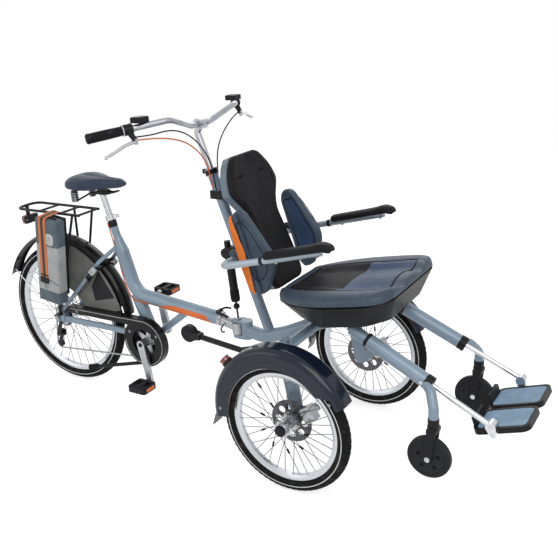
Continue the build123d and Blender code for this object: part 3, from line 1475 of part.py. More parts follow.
def build():
    """Makes every piece."""
    wheel_place = Pos(0, half_track, front_wheel_radius)
    keep_pair("front_tyre", wheel_place * tyre(front_wheel_radius, front_rim_seat))
    keep_pair("front_wheel", wheel_place * front_wheel())
    rear_place = Pos(-wheelbase, 0, rear_wheel_radius)
    keep("rear_tyre", rear_place * tyre(rear_wheel_radius, rear_rim_seat))
    keep("rear_wheel", rear_place * rear_wheel())
    keep("rear_frame", make_rear_frame())
    keep("rear_axle", make_rear_axle())
    keep("coupling", make_coupling())
    keep("seat_post", apart(make_seat_post(), make_post_clamp()))
    keep("saddle_rails", make_saddle_rails())
    keep("saddle", make_saddle())
    keep("chain", make_chain())
    keep("chain_case", make_chain_case())
    keep("derailleur", make_derailleur())
    keep("crankset", make_crankset())
    keep("pedal_left", make_pedal(1))
    keep("pedal_right", make_pedal(-1))
    keep("side_stand", make_side_stand())
    keep("rear_mudguard", make_rear_mudguard())
    keep("coat_guards", make_coat_guards())
    keep("rear_rack", make_rear_rack())
    keep("battery", make_battery())
    keep("rack_straps", make_straps())
    keep("rack_lamp", make_rack_lamp())
    keep("ring_lock", make_ring_lock())
    keep("chair_frame", make_chair_frame())
    keep("pivot_pin", make_pivot_pin())
    keep("handlebar_post", make_handlebar_post())
    keep("stem", make_stem())
    keep("handlebar", make_handlebar())
    keep("grips", both(make_grip()))
    keep("brake_levers", both(apart(make_control(), make_bar_box())))
    keep("bar_cables", make_bar_cables())
    keep("spring_strut", make_spring_strut())
    keep("post_brackets", apart(make_strut_bracket(), make_back_mount()))
    keep("backrest_shell", make_backrest_shell())
    keep("backrest_cushion", make_backrest_cushion())
    keep("side_pads", make_side_pads())
    keep("side_pad_shells", make_side_shells())
    keep_pair("armrest", make_armrest(1))
    keep_pair("arm_pad", make_arm_pad(1))
    keep("seat_pan", make_seat_pan())
    keep("seat_cushion", make_seat_cushion())
    keep("footrest_rods", both(make_footrest_rod(1)))
    keep("footplates", both(make_footplate(1)))
    keep("foot_pads", both(make_foot_pad(1)))
    keep_pair("caster_fork", make_caster_fork(1))
    keep_pair("caster_wheel", make_caster_wheel(1))
    keep("front_mudguards", both(make_fender()))
    keep("mudguard_lamps", both(make_fender_lamp()))
    keep("brake_calipers", both(make_caliper()))
    keep("anti_tip_arm", make_anti_tip())
    keep("anti_tip_wheel", make_anti_tip_wheel())


if __name__ == "__main__":
    os.makedirs("parts", exist_ok=True)
    build()
    for name, shape in pieces.items():
        export_step(Pos(frame_shift, 0, 0) * shape, "parts/" + name + ".step")
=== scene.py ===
"""Looks of the wheelchair bicycle: finishes, soft parts, trim, camera, floor and light round the model."""

import logging
from dataclasses import dataclass
from enum import Enum
from math import cos, hypot, pi, radians, sin, sqrt
from typing import Callable, Iterable, Optional, Sequence
import bmesh
import bpy
from mathutils import Matrix, Vector


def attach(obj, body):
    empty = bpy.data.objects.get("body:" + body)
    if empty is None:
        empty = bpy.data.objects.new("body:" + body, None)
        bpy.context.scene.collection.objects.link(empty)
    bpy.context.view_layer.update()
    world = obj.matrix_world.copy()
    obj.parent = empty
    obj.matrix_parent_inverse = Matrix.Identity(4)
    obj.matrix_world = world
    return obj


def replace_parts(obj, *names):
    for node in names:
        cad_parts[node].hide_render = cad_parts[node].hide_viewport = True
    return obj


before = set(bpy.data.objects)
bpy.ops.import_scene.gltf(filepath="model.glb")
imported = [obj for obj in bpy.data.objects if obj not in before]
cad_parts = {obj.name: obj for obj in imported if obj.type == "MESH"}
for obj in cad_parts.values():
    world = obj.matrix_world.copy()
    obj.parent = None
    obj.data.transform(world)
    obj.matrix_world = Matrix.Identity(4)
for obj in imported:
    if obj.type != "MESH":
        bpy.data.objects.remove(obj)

log = logging.getLogger("wheelchair_bicycle")
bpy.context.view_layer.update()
ACROSS = Vector((0, 1, 0))
# millimetres, measured from the ground under the front axles
FRAME_SHIFT = 457.4
WHEELBASE = 1365.0
HALF_TRACK = 342.5
FRONT_RADIUS = 250.0
REAR_RADIUS = 327.0
Colour = tuple[float, float, float]
Place = tuple[float, float, float]


def at(x: float, y: float, z: float) -> Vector:
    """A place given in millimetres from the ground under the front axles, in the model's metres."""
    return Vector(((x + FRAME_SHIFT) / 1000, y / 1000, z / 1000))


class Body(str, Enum):
    """The moving bodies that the pieces ride on."""

    CHAIR = "chair"
    REAR = "bicycle_rear"
    REAR_WHEEL = "rear_wheel"
    FRONT_LEFT = "front_wheel_left"
    FRONT_RIGHT = "front_wheel_right"
    ARM_LEFT = "armrest_left"
    ARM_RIGHT = "armrest_right"
    CRANK = "crankset"
    PEDAL_LEFT = "pedal_left"
    PEDAL_RIGHT = "pedal_right"
    CASTER_LEFT = "caster_fork_left"
    CASTER_RIGHT = "caster_fork_right"
    CASTER_WHEEL_LEFT = "caster_wheel_left"
    CASTER_WHEEL_RIGHT = "caster_wheel_right"
    ANTI_TIP = "anti_tip_wheel"
    STAND = "side_stand"


class Side(Enum):
    """Left is y positive, seen by the rider."""

    LEFT = 1
    RIGHT = -1

    @property
    def word(self) -> str:
        """The side's name as the nodes spell it."""
        return self.name.lower()


# ---------------------------------------------------------------- finishes


class Shader:
    """A small builder for one material's nodes."""

    def __init__(self, name: str) -> None:
        """Starts a material with its principled shader.

        Args:
            name: The material's name.
        """
        self.material = bpy.data.materials.new(name)
        self.material.use_nodes = True
        self.nodes = self.material.node_tree.nodes
        self.links = self.material.node_tree.links
        self.bsdf = self.nodes["Principled BSDF"]
        self.place = self.nodes.new("ShaderNodeTexCoord").outputs["Object"]

    def set(self, **values: object) -> "Shader":
        """Sets sockets of the principled shader by name, with underscores for spaces."""
        for key, value in values.items():
            self.bsdf.inputs[key.replace("_", " ")].default_value = value
        return self

    def node(self, kind: str, **values: object) -> bpy.types.Node:
        """Adds a node.

        Args:
            kind: The node's type name.
            values: Attributes of the node, or default values of its input sockets.

        Returns:
            The new node.
        """
        new = self.nodes.new(kind)
        for key, value in values.items():
            if hasattr(new, key):
                setattr(new, key, value)
            else:
                new.inputs[key.replace("_", " ")].default_value = value
        return new

    def stretched(self, scale: Place) -> bpy.types.NodeSocket:
        """The object's coordinates, stretched by a scale a direction."""
        mapping = self.node("ShaderNodeMapping")
        mapping.inputs["Scale"].default_value = scale
        self.links.new(self.place, mapping.inputs["Vector"])
        return mapping.outputs["Vector"]

    def noise(self, scale: float, detail: float = 3.0,
              source: Optional[bpy.types.NodeSocket] = None) -> bpy.types.NodeSocket:
        """Noise over the object.

        Args:
            scale: How fine the noise is.
            detail: How many layers it has.
            source: Coordinates to use instead of the object's.

        Returns:
            The noise's factor socket.
        """
        new = self.node("ShaderNodeTexNoise", Scale=scale, Detail=detail)
        self.links.new(source or self.place, new.inputs["Vector"])
        return new.outputs["Fac"]

    def between(self, factor: bpy.types.NodeSocket, low: float, high: float, near: float = 0.0,
                far: float = 1.0) -> bpy.types.NodeSocket:
        """Maps a factor's range near..far to low..high.

        Args:
            factor: The socket that varies.
            low: The result where the factor is at near.
            high: The result where it is at far.
            near: One end of the factor's range.
            far: The other end.

        Returns:
            The mapped socket.
        """
        new = self.node("ShaderNodeMapRange")
        for key, value in (("From Min", near), ("From Max", far), ("To Min", low), ("To Max", high)):
            new.inputs[key].default_value = value
        self.links.new(factor, new.inputs["Value"])
        return new.outputs["Result"]

    def tint(self, factor: bpy.types.NodeSocket, first: Colour, second: Colour, near: float = 0.3,
             far: float = 0.7) -> bpy.types.NodeSocket:
        """A colour between two, by a factor.

        Args:
            factor: The socket that chooses.
            first: The colour at near.
            second: The colour at far.
            near: Where the first colour ends.
            far: Where the second begins.

        Returns:
            The colour socket.
        """
        ramp = self.node("ShaderNodeValToRGB")
        ramp.color_ramp.elements[0].position = near
        ramp.color_ramp.elements[0].color = (*first, 1)
        ramp.color_ramp.elements[1].position = far
        ramp.color_ramp.elements[1].color = (*second, 1)
        self.links.new(factor, ramp.inputs["Fac"])
        return ramp.outputs["Color"]

    def colour(self, socket: bpy.types.NodeSocket) -> None:
        """Joins a colour to the shader."""
        self.links.new(socket, self.bsdf.inputs["Base Color"])

    def rough(self, socket: bpy.types.NodeSocket) -> None:
        """Joins a roughness to the shader."""
        self.links.new(socket, self.bsdf.inputs["Roughness"])

    def bump(self, socket: bpy.types.NodeSocket, strength: float, depth: float) -> None:
        """Joins a height to the shader through a bump.

        Args:
            socket: The height.
            strength: How strong the bump is.
            depth: Its depth in metres.
        """
        new = self.node("ShaderNodeBump", Strength=strength, Distance=depth)
        self.links.new(socket, new.inputs["Height"])
        if self.bsdf.inputs["Normal"].is_linked:
            self.links.new(self.bsdf.inputs["Normal"].links[0].from_socket, new.inputs["Normal"])
        self.links.new(new.outputs["Normal"], self.bsdf.inputs["Normal"])


def shade(colour: Colour, share: float) -> Colour:
    """A colour made darker or lighter by a share."""
    return tuple(min(1.0, part * share) for part in colour)


@dataclass(frozen=True)
class Paint:
    """Sprayed and lacquered paint with a fine orange peel and a little dust."""

    name: str
    colour: Colour
    metallic: float = 0.25
    roughness: float = 0.32
    coat: float = 0.5

    def make(self) -> bpy.types.Material:
        """Builds the material."""
        shader = Shader(self.name).set(Metallic=self.metallic, Coat_Weight=self.coat, Coat_Roughness=0.12,
                                       Specular_IOR_Level=0.2)
        cloud = shader.noise(9.0, 4.0)
        shader.colour(shader.tint(cloud, shade(self.colour, 0.9), shade(self.colour, 1.08)))
        shader.rough(shader.between(shader.noise(60.0, 5.0), self.roughness - 0.06, self.roughness + 0.1, 0.3,
                                    0.7))
        shader.bump(shader.noise(900.0, 2.0), 0.06, 0.0003)
        return shader.material


@dataclass(frozen=True)
class Metal:
    """Bare metal with fine brushing along one direction."""

    name: str
    colour: Colour
    roughness: float = 0.3
    grain: Place = (40.0, 900.0, 900.0)

    def make(self) -> bpy.types.Material:
        """Builds the material."""
        shader = Shader(self.name).set(Metallic=1.0)
        brush = shader.noise(1.0, 3.0, shader.stretched(self.grain))
        shader.colour(shader.tint(shader.noise(25.0, 4.0), shade(self.colour, 0.86),
                                  shade(self.colour, 1.06)))
        shader.rough(shader.between(brush, self.roughness - 0.08, self.roughness + 0.12, 0.3, 0.7))
        shader.bump(brush, 0.05, 0.0002)
        return shader.material


@dataclass(frozen=True)
class WheelMetal:
    """Bright rim and hub with darker steel spokes between them."""

    name: str
    bright: Colour
    spoke: Colour
    axle: tuple[float, float]
    bounds: tuple[float, float]

    def make(self) -> bpy.types.Material:
        """Builds the material."""
        shader = Shader(self.name).set(Metallic=1.0)
        away = shader.node("ShaderNodeVectorMath", operation="SUBTRACT")
        away.inputs[1].default_value = (self.axle[0], 0.0, self.axle[1])
        flat = shader.node("ShaderNodeVectorMath", operation="MULTIPLY")
        flat.inputs[1].default_value = (1.0, 0.0, 1.0)
        reach = shader.node("ShaderNodeVectorMath", operation="LENGTH")
        shader.links.new(shader.place, away.inputs[0])
        shader.links.new(away.outputs[0], flat.inputs[0])
        shader.links.new(flat.outputs[0], reach.inputs[0])
        ramp = shader.node("ShaderNodeValToRGB")
        ramp.color_ramp.interpolation = "CONSTANT"
        ramp.color_ramp.elements[0].color = (*self.bright, 1)
        ramp.color_ramp.elements[1].position = self.bounds[1]
        ramp.color_ramp.elements[1].color = (*self.bright, 1)
        middle = ramp.color_ramp.elements.new(self.bounds[0])
        middle.color = (*self.spoke, 1)
        shader.links.new(reach.outputs["Value"], ramp.inputs["Fac"])
        shader.colour(ramp.outputs["Color"])
        brush = shader.noise(1.0, 3.0, shader.stretched((200.0, 900.0, 200.0)))
        shader.rough(shader.between(brush, 0.2, 0.4, 0.3, 0.7))
        shader.bump(brush, 0.05, 0.0002)
        return shader.material


@dataclass(frozen=True)
class Vinyl:
    """Upholstery vinyl or leather with a pebbled grain."""

    name: str
    colour: Colour
    roughness: float = 0.5
    pebble: float = 420.0
    depth: float = 0.0005
    gloss: float = 0.25

    def make(self) -> bpy.types.Material:
        """Builds the material."""
        shader = Shader(self.name).set(Specular_IOR_Level=self.gloss)
        cells = shader.node("ShaderNodeTexVoronoi", Scale=self.pebble)
        shader.links.new(shader.place, cells.inputs["Vector"])
        cloud = shader.noise(14.0, 5.0)
        shader.colour(shader.tint(cloud, shade(self.colour, 0.84), shade(self.colour, 1.12)))
        shader.rough(shader.between(shader.noise(120.0, 4.0), self.roughness - 0.08, self.roughness + 0.12,
                                    0.3, 0.7))
        shader.bump(cells.outputs["Distance"], 0.3, self.depth)
        shader.bump(shader.noise(70.0, 3.0), 0.08, 0.001)
        return shader.material


@dataclass(frozen=True)
class Plastic:
    """Moulded plastic with a fine sparked texture."""

    name: str
    colour: Colour
    roughness: float = 0.45
    texture: float = 700.0
    strength: float = 0.12
    coat: float = 0.0
    gloss: float = 0.05

    def make(self) -> bpy.types.Material:
        """Builds the material."""
        shader = Shader(self.name).set(Coat_Weight=self.coat, Coat_Roughness=0.1,
                                       Specular_IOR_Level=self.gloss)
        shader.colour(shader.tint(shader.noise(18.0, 5.0), shade(self.colour, 0.85),
                                  shade(self.colour, 1.15)))
        shader.rough(shader.between(shader.noise(90.0, 4.0), self.roughness - 0.07, self.roughness + 0.1, 0.3,
                                    0.7))
        shader.bump(shader.noise(self.texture, 2.0), self.strength, 0.0004)
        return shader.material


@dataclass(frozen=True)
class Rubber:
    """Matt rubber with a dusty bloom."""

    name: str
    colour: Colour
    dust: Colour = (0.16, 0.15, 0.14)

    def make(self) -> bpy.types.Material:
        """Builds the material."""
        shader = Shader(self.name).set(Specular_IOR_Level=0.06)
        shader.colour(shader.tint(shader.noise(35.0, 6.0), self.colour, self.dust, 0.52, 0.85))
        shader.rough(shader.between(shader.noise(200.0, 3.0), 0.6, 0.85, 0.3, 0.7))
        shader.bump(shader.noise(1200.0, 2.0), 0.2, 0.0004)
        return shader.material


@dataclass(frozen=True)
class Webbing:
    """Woven strap."""

    name: str
    colour: Colour

    def make(self) -> bpy.types.Material:
        """Builds the material."""
        shader = Shader(self.name).set(Roughness=0.8, Sheen_Weight=0.3)
        weave = shader.node("ShaderNodeTexWave", Scale=420.0, Distortion=1.5, bands_direction="DIAGONAL")
        shader.links.new(shader.place, weave.inputs["Vector"])
        shader.colour(shader.tint(weave.outputs["Fac"], shade(self.colour, 0.7), self.colour))
        shader.bump(weave.outputs["Fac"], 0.4, 0.0005)
        return shader.material


@dataclass(frozen=True)
class Lens:
    """Coloured lamp glass with moulded prisms inside."""

    name: str
    colour: Colour

    def make(self) -> bpy.types.Material:
        """Builds the material."""
        shader = Shader(self.name).set(Roughness=0.08, Coat_Weight=0.8, Transmission_Weight=0.15)
        cells = shader.node("ShaderNodeTexVoronoi", Scale=260.0)
        shader.links.new(shader.place, cells.inputs["Vector"])
        shader.colour(shader.tint(cells.outputs["Distance"], self.colour, shade(self.colour, 0.5), 0.1, 0.8))
        shader.bump(cells.outputs["Distance"], 0.4, 0.001)
        return shader.material


class Finish(Enum):
    """Every finish on the machine."""

    FRAME = Paint("frame_blue_grey", (0.265, 0.345, 0.43), 0.15, 0.36, 0.3)
    STRIPE = Paint("stripe_orange", (0.86, 0.19, 0.04), 0.0, 0.4, 0.3)
    GUARD = Plastic("mudguard_navy", (0.008, 0.013, 0.028), 0.16, 300.0, 0.02, 0.6)
    REAR_GUARD = Plastic("mudguard_black", (0.008, 0.008, 0.01), 0.2, 300.0, 0.03, 0.35)
    DARK = Paint("black_enamel", (0.009, 0.009, 0.011), 0.0, 0.36, 0.0)
    ALLOY = Metal("cast_alloy", (0.45, 0.46, 0.48), 0.36, (300.0, 300.0, 300.0))
    POLISHED = Metal("polished_steel", (0.6, 0.61, 0.63), 0.2)
    BAR = Metal("bar_alloy", (0.36, 0.38, 0.41), 0.3)
    ARM = Paint("arm_silver_paint", (0.36, 0.42, 0.48), 0.4, 0.34, 0.3)
    STEEL = Metal("steel_wire", (0.34, 0.35, 0.37), 0.34)
    FRONT_RIM = WheelMetal("front_wheel_metal", (0.52, 0.54, 0.57), (0.1, 0.1, 0.105),
                           (FRAME_SHIFT / 1000, 0.25), (0.034, 0.183))
    REAR_RIM = WheelMetal("rear_wheel_metal", (0.52, 0.54, 0.57), (0.1, 0.1, 0.105),
                          ((FRAME_SHIFT - WHEELBASE) / 1000, 0.327), (0.04, 0.26))
    COUPLING = Metal("bare_coupling", (0.42, 0.43, 0.45), 0.38)
    BLUE = Vinyl("blue_grey_vinyl", (0.045, 0.078, 0.15), 0.42)
    SHELL = Plastic("shell_blue_grey", (0.16, 0.22, 0.27), 0.3, 500.0, 0.04, 0.4)
    BLACK_VINYL = Vinyl("black_grained_vinyl", (0.011, 0.011, 0.013), 0.5, 520.0, 0.0005, 0.12)
    WELL = Vinyl("black_well_vinyl", (0.009, 0.009, 0.011), 0.5, 380.0, 0.0007, 0.1)
    SLATE = Vinyl("slate_vinyl", (0.06, 0.085, 0.12), 0.42)
    SADDLE = Vinyl("saddle_leather", (0.018, 0.036, 0.07), 0.34, 600.0, 0.0003, 0.35)
    BLACK = Plastic("black_moulded_plastic", (0.013, 0.013, 0.015), 0.42, gloss=0.15)
    GLOSS_BLACK = Plastic("gloss_black_plastic", (0.006, 0.006, 0.007), 0.2, 200.0, 0.03, 0.3)
    ORANGE_SHELL = Plastic("orange_shell", (0.94, 0.24, 0.05), 0.4, 500.0, 0.06)
    GREY = Plastic("coat_guard_grey", (0.21, 0.21, 0.2), 0.36, 500.0, 0.08)
    DARK_GREY = Plastic("dark_grey_plastic", (0.03, 0.031, 0.034), 0.4, 500.0, 0.08)
    BATTERY = Plastic("battery_grey", (0.46, 0.47, 0.475), 0.42, 500.0, 0.1)
    BATTERY_DARK = Plastic("battery_blue_grey", (0.13, 0.165, 0.19), 0.4, 500.0, 0.1)
    PALE = Plastic("pale_plastic", (0.62, 0.63, 0.63), 0.4)
    FOOT_PAD = Plastic("foot_pad_blue", (0.3, 0.43, 0.58), 0.6, 240.0, 0.3)
    RUBBER = Rubber("grip_rubber", (0.018, 0.018, 0.02), (0.07, 0.07, 0.075))
    TYRE = Rubber("tyre_rubber", (0.013, 0.013, 0.014), (0.06, 0.057, 0.053))
    LINE = Plastic("tyre_line", (0.72, 0.73, 0.72), 0.35, 300.0, 0.05)
    STRAP_ORANGE = Webbing("strap_orange", (0.82, 0.22, 0.05))
    STRAP_BLACK = Webbing("strap_black", (0.02, 0.02, 0.022))
    RED = Lens("red_lamp_glass", (0.5, 0.012, 0.012))
    CABLE = Rubber("cable_black", (0.012, 0.012, 0.013), (0.03, 0.03, 0.03))
    CABLE_ORANGE = Rubber("cable_orange", (0.7, 0.16, 0.04), (0.55, 0.12, 0.03))

    def get(self) -> bpy.types.Material:
        """The finish's material, made the first time it is asked for."""
        found = bpy.data.materials.get(self.value.name)
        return found or self.value.make()


def dress(finish: Finish, *nodes: str) -> None:
    """Gives carried-over nodes their finish.

    Args:
        finish: The finish for all their material slots.
        nodes: The nodes' names.
    """
    for node in nodes:
        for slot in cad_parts[node].material_slots:
            slot.material = finish.get()
        log.info("dressed %s", node)


# ---------------------------------------------------------------- mesh helpers


def piece(name: str, verts: Sequence[Vector], faces: Sequence[Sequence[int]], *finishes: Finish,
          smooth: bool = True) -> bpy.types.Object:
    """Makes a mesh object.

    Args:
        name: The piece's name.
        verts: Its corners in metres.
        faces: Its faces as corner numbers.
        finishes: Its finishes, one a material slot.
        smooth: Whether its faces are shaded smooth.

    Returns:
        The new object.
    """
    mesh = bpy.data.meshes.new(name)
    mesh.from_pydata([tuple(v) for v in verts], [], [tuple(f) for f in faces])
    mesh.validate()
    for finish in finishes:
        mesh.materials.append(finish.get())
    obj = bpy.data.objects.new(name, mesh)
    bpy.context.scene.collection.objects.link(obj)
    edit = bmesh.new()
    edit.from_mesh(mesh)
    bmesh.ops.recalc_face_normals(edit, faces=edit.faces)
    edit.to_mesh(mesh)
    edit.free()
    mesh.polygons.foreach_set("use_smooth", [smooth] * len(mesh.polygons))
    if smooth:
        mesh.set_sharp_from_angle(angle=radians(40))
    return obj


def settle(obj: bpy.types.Object, body: Body) -> bpy.types.Object:
    """Lets a piece ride on a body.

    Args:
        obj: The piece.
        body: The body that it moves with.

    Returns:
        The piece.
    """
    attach(obj, body.value)
    log.info("made %s on %s", obj.name, body.value)
    return obj


def harden(obj: bpy.types.Object, width: float, segments: int = 2) -> bpy.types.Object:
    """Rounds a piece's sharp edges with a bevel, in metres."""
    bevel = obj.modifiers.new("edge", "BEVEL")
    bevel.width = width
    bevel.segments = segments
    bevel.limit_method = "ANGLE"
    return obj


def around(way: Vector, count: int) -> list[Vector]:
    """Directions spread over a whole turn about an axis."""
    first = way.orthogonal().normalized()
    second = way.cross(first)
    return [first * cos(2 * pi * n / count) + second * sin(2 * pi * n / count) for n in range(count)]


class Shape:
    """Collects the corners and faces of one piece."""

    def __init__(self) -> None:
        """Starts empty."""
        self.verts: list[Vector] = []
        self.faces: list[tuple[int, ...]] = []

    def add(self, verts: Iterable[Vector], faces: Iterable[Sequence[int]]) -> "Shape":
        """Adds corners and the faces between them."""
        base = len(self.verts)
        self.verts.extend(verts)
        self.faces.extend(tuple(base + number for number in face) for face in faces)
        return self

    def loops(self, rings: Sequence[Sequence[Vector]], closed: bool = False, whole: bool = True) -> "Shape":
        """Adds a skin over a row of rings, with a cap on each end that is left.

        Args:
            rings: The rings, all with the same number of corners.
            closed: Whether the last ring joins the first.
            whole: Whether each ring closes on itself.

        Returns:
            This shape.
        """
        count = len(rings[0])
        faces: list[tuple[int, ...]] = []
        for row in range(len(rings) if closed else len(rings) - 1):
            after = (row + 1) % len(rings)
            for number in range(count if whole else count - 1):
                beside = (number + 1) % count
                low, high = row * count, after * count
                faces.append((low + number, low + beside, high + beside, high + number))
        if not closed:
            faces.append(tuple(range(count - 1, -1, -1)))
            faces.append(tuple(range((len(rings) - 1) * count, len(rings) * count)))
        return self.add([corner for ring in rings for corner in ring], faces)

    def bar(self, start: Vector, end: Vector, radius: float, far: Optional[float] = None,
            sides: int = 16) -> "Shape":
        """Adds a round bar or cone between two places, in metres.

        Args:
            start: One end.
            end: The other.
            radius: The radius at the start.
            far: The radius at the end, if it differs.
            sides: How many sides it has.

        Returns:
            This shape.
        """
        circle = around((end - start).normalized(), sides)
        tip = radius if far is None else far
        return self.loops([[start + out * radius for out in circle], [end + out * tip for out in circle]])

    def turned(self, centre: Vector, way: Vector, profile: Sequence[tuple[float, float]], sides: int = 48,
               closed: bool = False) -> "Shape":
        """Adds a profile of radius and distance along an axis, turned about the axis.

        Args:
            centre: A place on the axis.
            way: The axis.
            profile: Pairs of radius and place along the axis, in metres.
            sides: How many steps a turn has.
            closed: Whether the profile closes on itself.

        Returns:
            This shape.
        """
        way = way.normalized()
        rings = [[centre + out * radius + way * along for radius, along in profile]
                 for out in around(way, sides)]
        return self.loops(rings, closed=True, whole=closed)

    def brick(self, middle: Vector, half: Vector, turn: Optional[Matrix] = None) -> "Shape":
        """Adds a box, to be rounded with a bevel.

        Args:
            middle: Its middle.
            half: Its half sizes.
            turn: How it is turned.

        Returns:
            This shape.
        """
        corners = [Vector((x * half.x, y * half.y, z * half.z)) for x in (-1, 1) for y in (-1, 1)
                   for z in (-1, 1)]
        if turn:
            corners = [turn @ corner for corner in corners]
        faces = [(0, 1, 3, 2), (4, 6, 7, 5), (0, 4, 5, 1), (2, 3, 7, 6), (0, 2, 6, 4), (1, 5, 7, 3)]
        return self.add([middle + corner for corner in corners], faces)

    def tube(self, places: Sequence[Vector], radius: float, sides: int = 10, closed: bool = False,
             swell: Optional[Callable[[float], float]] = None, flat: float = 1.0) -> "Shape":
        """Adds a tube along a list of places, in metres.

        Args:
            places: The middle of the tube.
            radius: Its radius.
            sides: How many sides it has.
            closed: Whether it joins its own start.
            swell: The radius's share along the tube, from 0 at its start to 1 at its end.
            flat: How flat the tube is upward.

        Returns:
            This shape.
        """
        rings = []
        last = len(places) - 1
        side: Optional[Vector] = None
        for number, place in enumerate(places):
            before = places[number - 1] if closed or number else place
            after = places[(number + 1) % (last + 1)] if closed or number < last else place
            way = (after - before).normalized()
            side = way.cross(Vector((0, 0, 1)))
            side = (way.orthogonal() if side.length < 0.05 else side).normalized()
            other = way.cross(side) * flat
            size = radius * (swell(number / last) if swell else 1.0)
            rings.append([place + (side * cos(2 * pi * n / sides) + other * sin(2 * pi * n / sides)) * size
                          for n in range(sides)])
        return self.loops(rings, closed=closed)

    def mirrored(self) -> "Shape":
        """Adds the mirror image on the machine's other side."""
        verts = [Vector((v.x, -v.y, v.z)) for v in self.verts]
        return self.add(verts, list(self.faces))

    def make(self, name: str, *finishes: Finish, smooth: bool = True) -> bpy.types.Object:
        """Makes the object."""
        return piece(name, self.verts, self.faces, *finishes, smooth=smooth)

    def put(self, name: str, finish: Finish, body: Body, slot: str, smooth: bool = True, edge: float = 0.0,
            segments: int = 2) -> bpy.types.Object:
        """Makes the object and lets it ride on a body.

        Args:
            name: The piece's name.
            finish: Its finish.
            body: The body that it moves with.
            slot: The record's material slot; not used.
            smooth: Whether its faces are shaded smooth.
            edge: The width of its rounded edges in metres, 0 for none.
            segments: How many steps a rounded edge has.

        Returns:
            The piece.
        """
        obj = self.make(name, finish, smooth=smooth)
        if edge:
            harden(obj, edge, segments)
        return settle(obj, body)


def curve(table: Sequence[Sequence[float]], place: float) -> list[float]:
    """Reads a smooth line through a table at a place.

    Args:
        table: Rows that start with the place and go on with values.
        place: Where to read.

    Returns:
        The values there.
    """
    last = len(table) - 1
    row = 0
    while row < last - 1 and place > table[row + 1][0]:
        row += 1
    span = table[row + 1][0] - table[row][0]
    share = min(1.0, max(0.0, (place - table[row][0]) / span))
    result = []
    for column in range(1, len(table[0])):
        low, high = table[row][column], table[row + 1][column]
        before = table[max(0, row - 1)]
        after = table[min(last, row + 2)]
        enter = (high - before[column]) / (table[row + 1][0] - before[0]) * span
        leave = (after[column] - low) / (after[0] - table[row][0]) * span
        square, cube = share ** 2, share ** 3
        result.append((2 * cube - 3 * square + 1) * low + (cube - 2 * square + share) * enter
                      + (3 * square - 2 * cube) * high + (cube - square) * leave)
    return result


def rise(value: float, low: float, high: float) -> float:
    """A smooth step from 0 at low to 1 at high."""
    share = min(1.0, max(0.0, (value - low) / (high - low)))
    return share * share * (3 - 2 * share)


def hump(value: float, middle: float, width: float) -> float:
    """A smooth bump of height 1."""
    return 2.718 ** -(((value - middle) / width) ** 2)


def smooth_path(places: Sequence[Place], steps: int = 8) -> list[Vector]:
    """Places along a smooth line through a few places given in millimetres.

    Args:
        places: The places that it goes through.
        steps: How many places there are between two of them.

    Returns:
        The places in metres.
    """
    table = [(float(number), *place) for number, place in enumerate(places)]
    return [at(*curve(table, number / steps)) for number in range((len(places) - 1) * steps + 1)]


def boxed(value: float, power: float) -> float:
    """A sine or cosine bent towards 1, with its sign kept, to turn a circle into a rounded box."""
    return abs(value) ** power * (1 if value > 0 else -1)


def leaning(degrees: float) -> tuple[Vector, Vector]:
    """The forward and the upward direction of a part that is tilted back."""
    turn = radians(degrees)
    return Vector((cos(turn), 0, sin(turn))), Vector((-sin(turn), 0, cos(turn)))


def rounded(share: float, power: float) -> float:
    """The height of a rounded edge, 1 in the middle and 0 at the rim."""
    return max(0.0, 1.0 - abs(share) ** power) ** (1.0 / power)


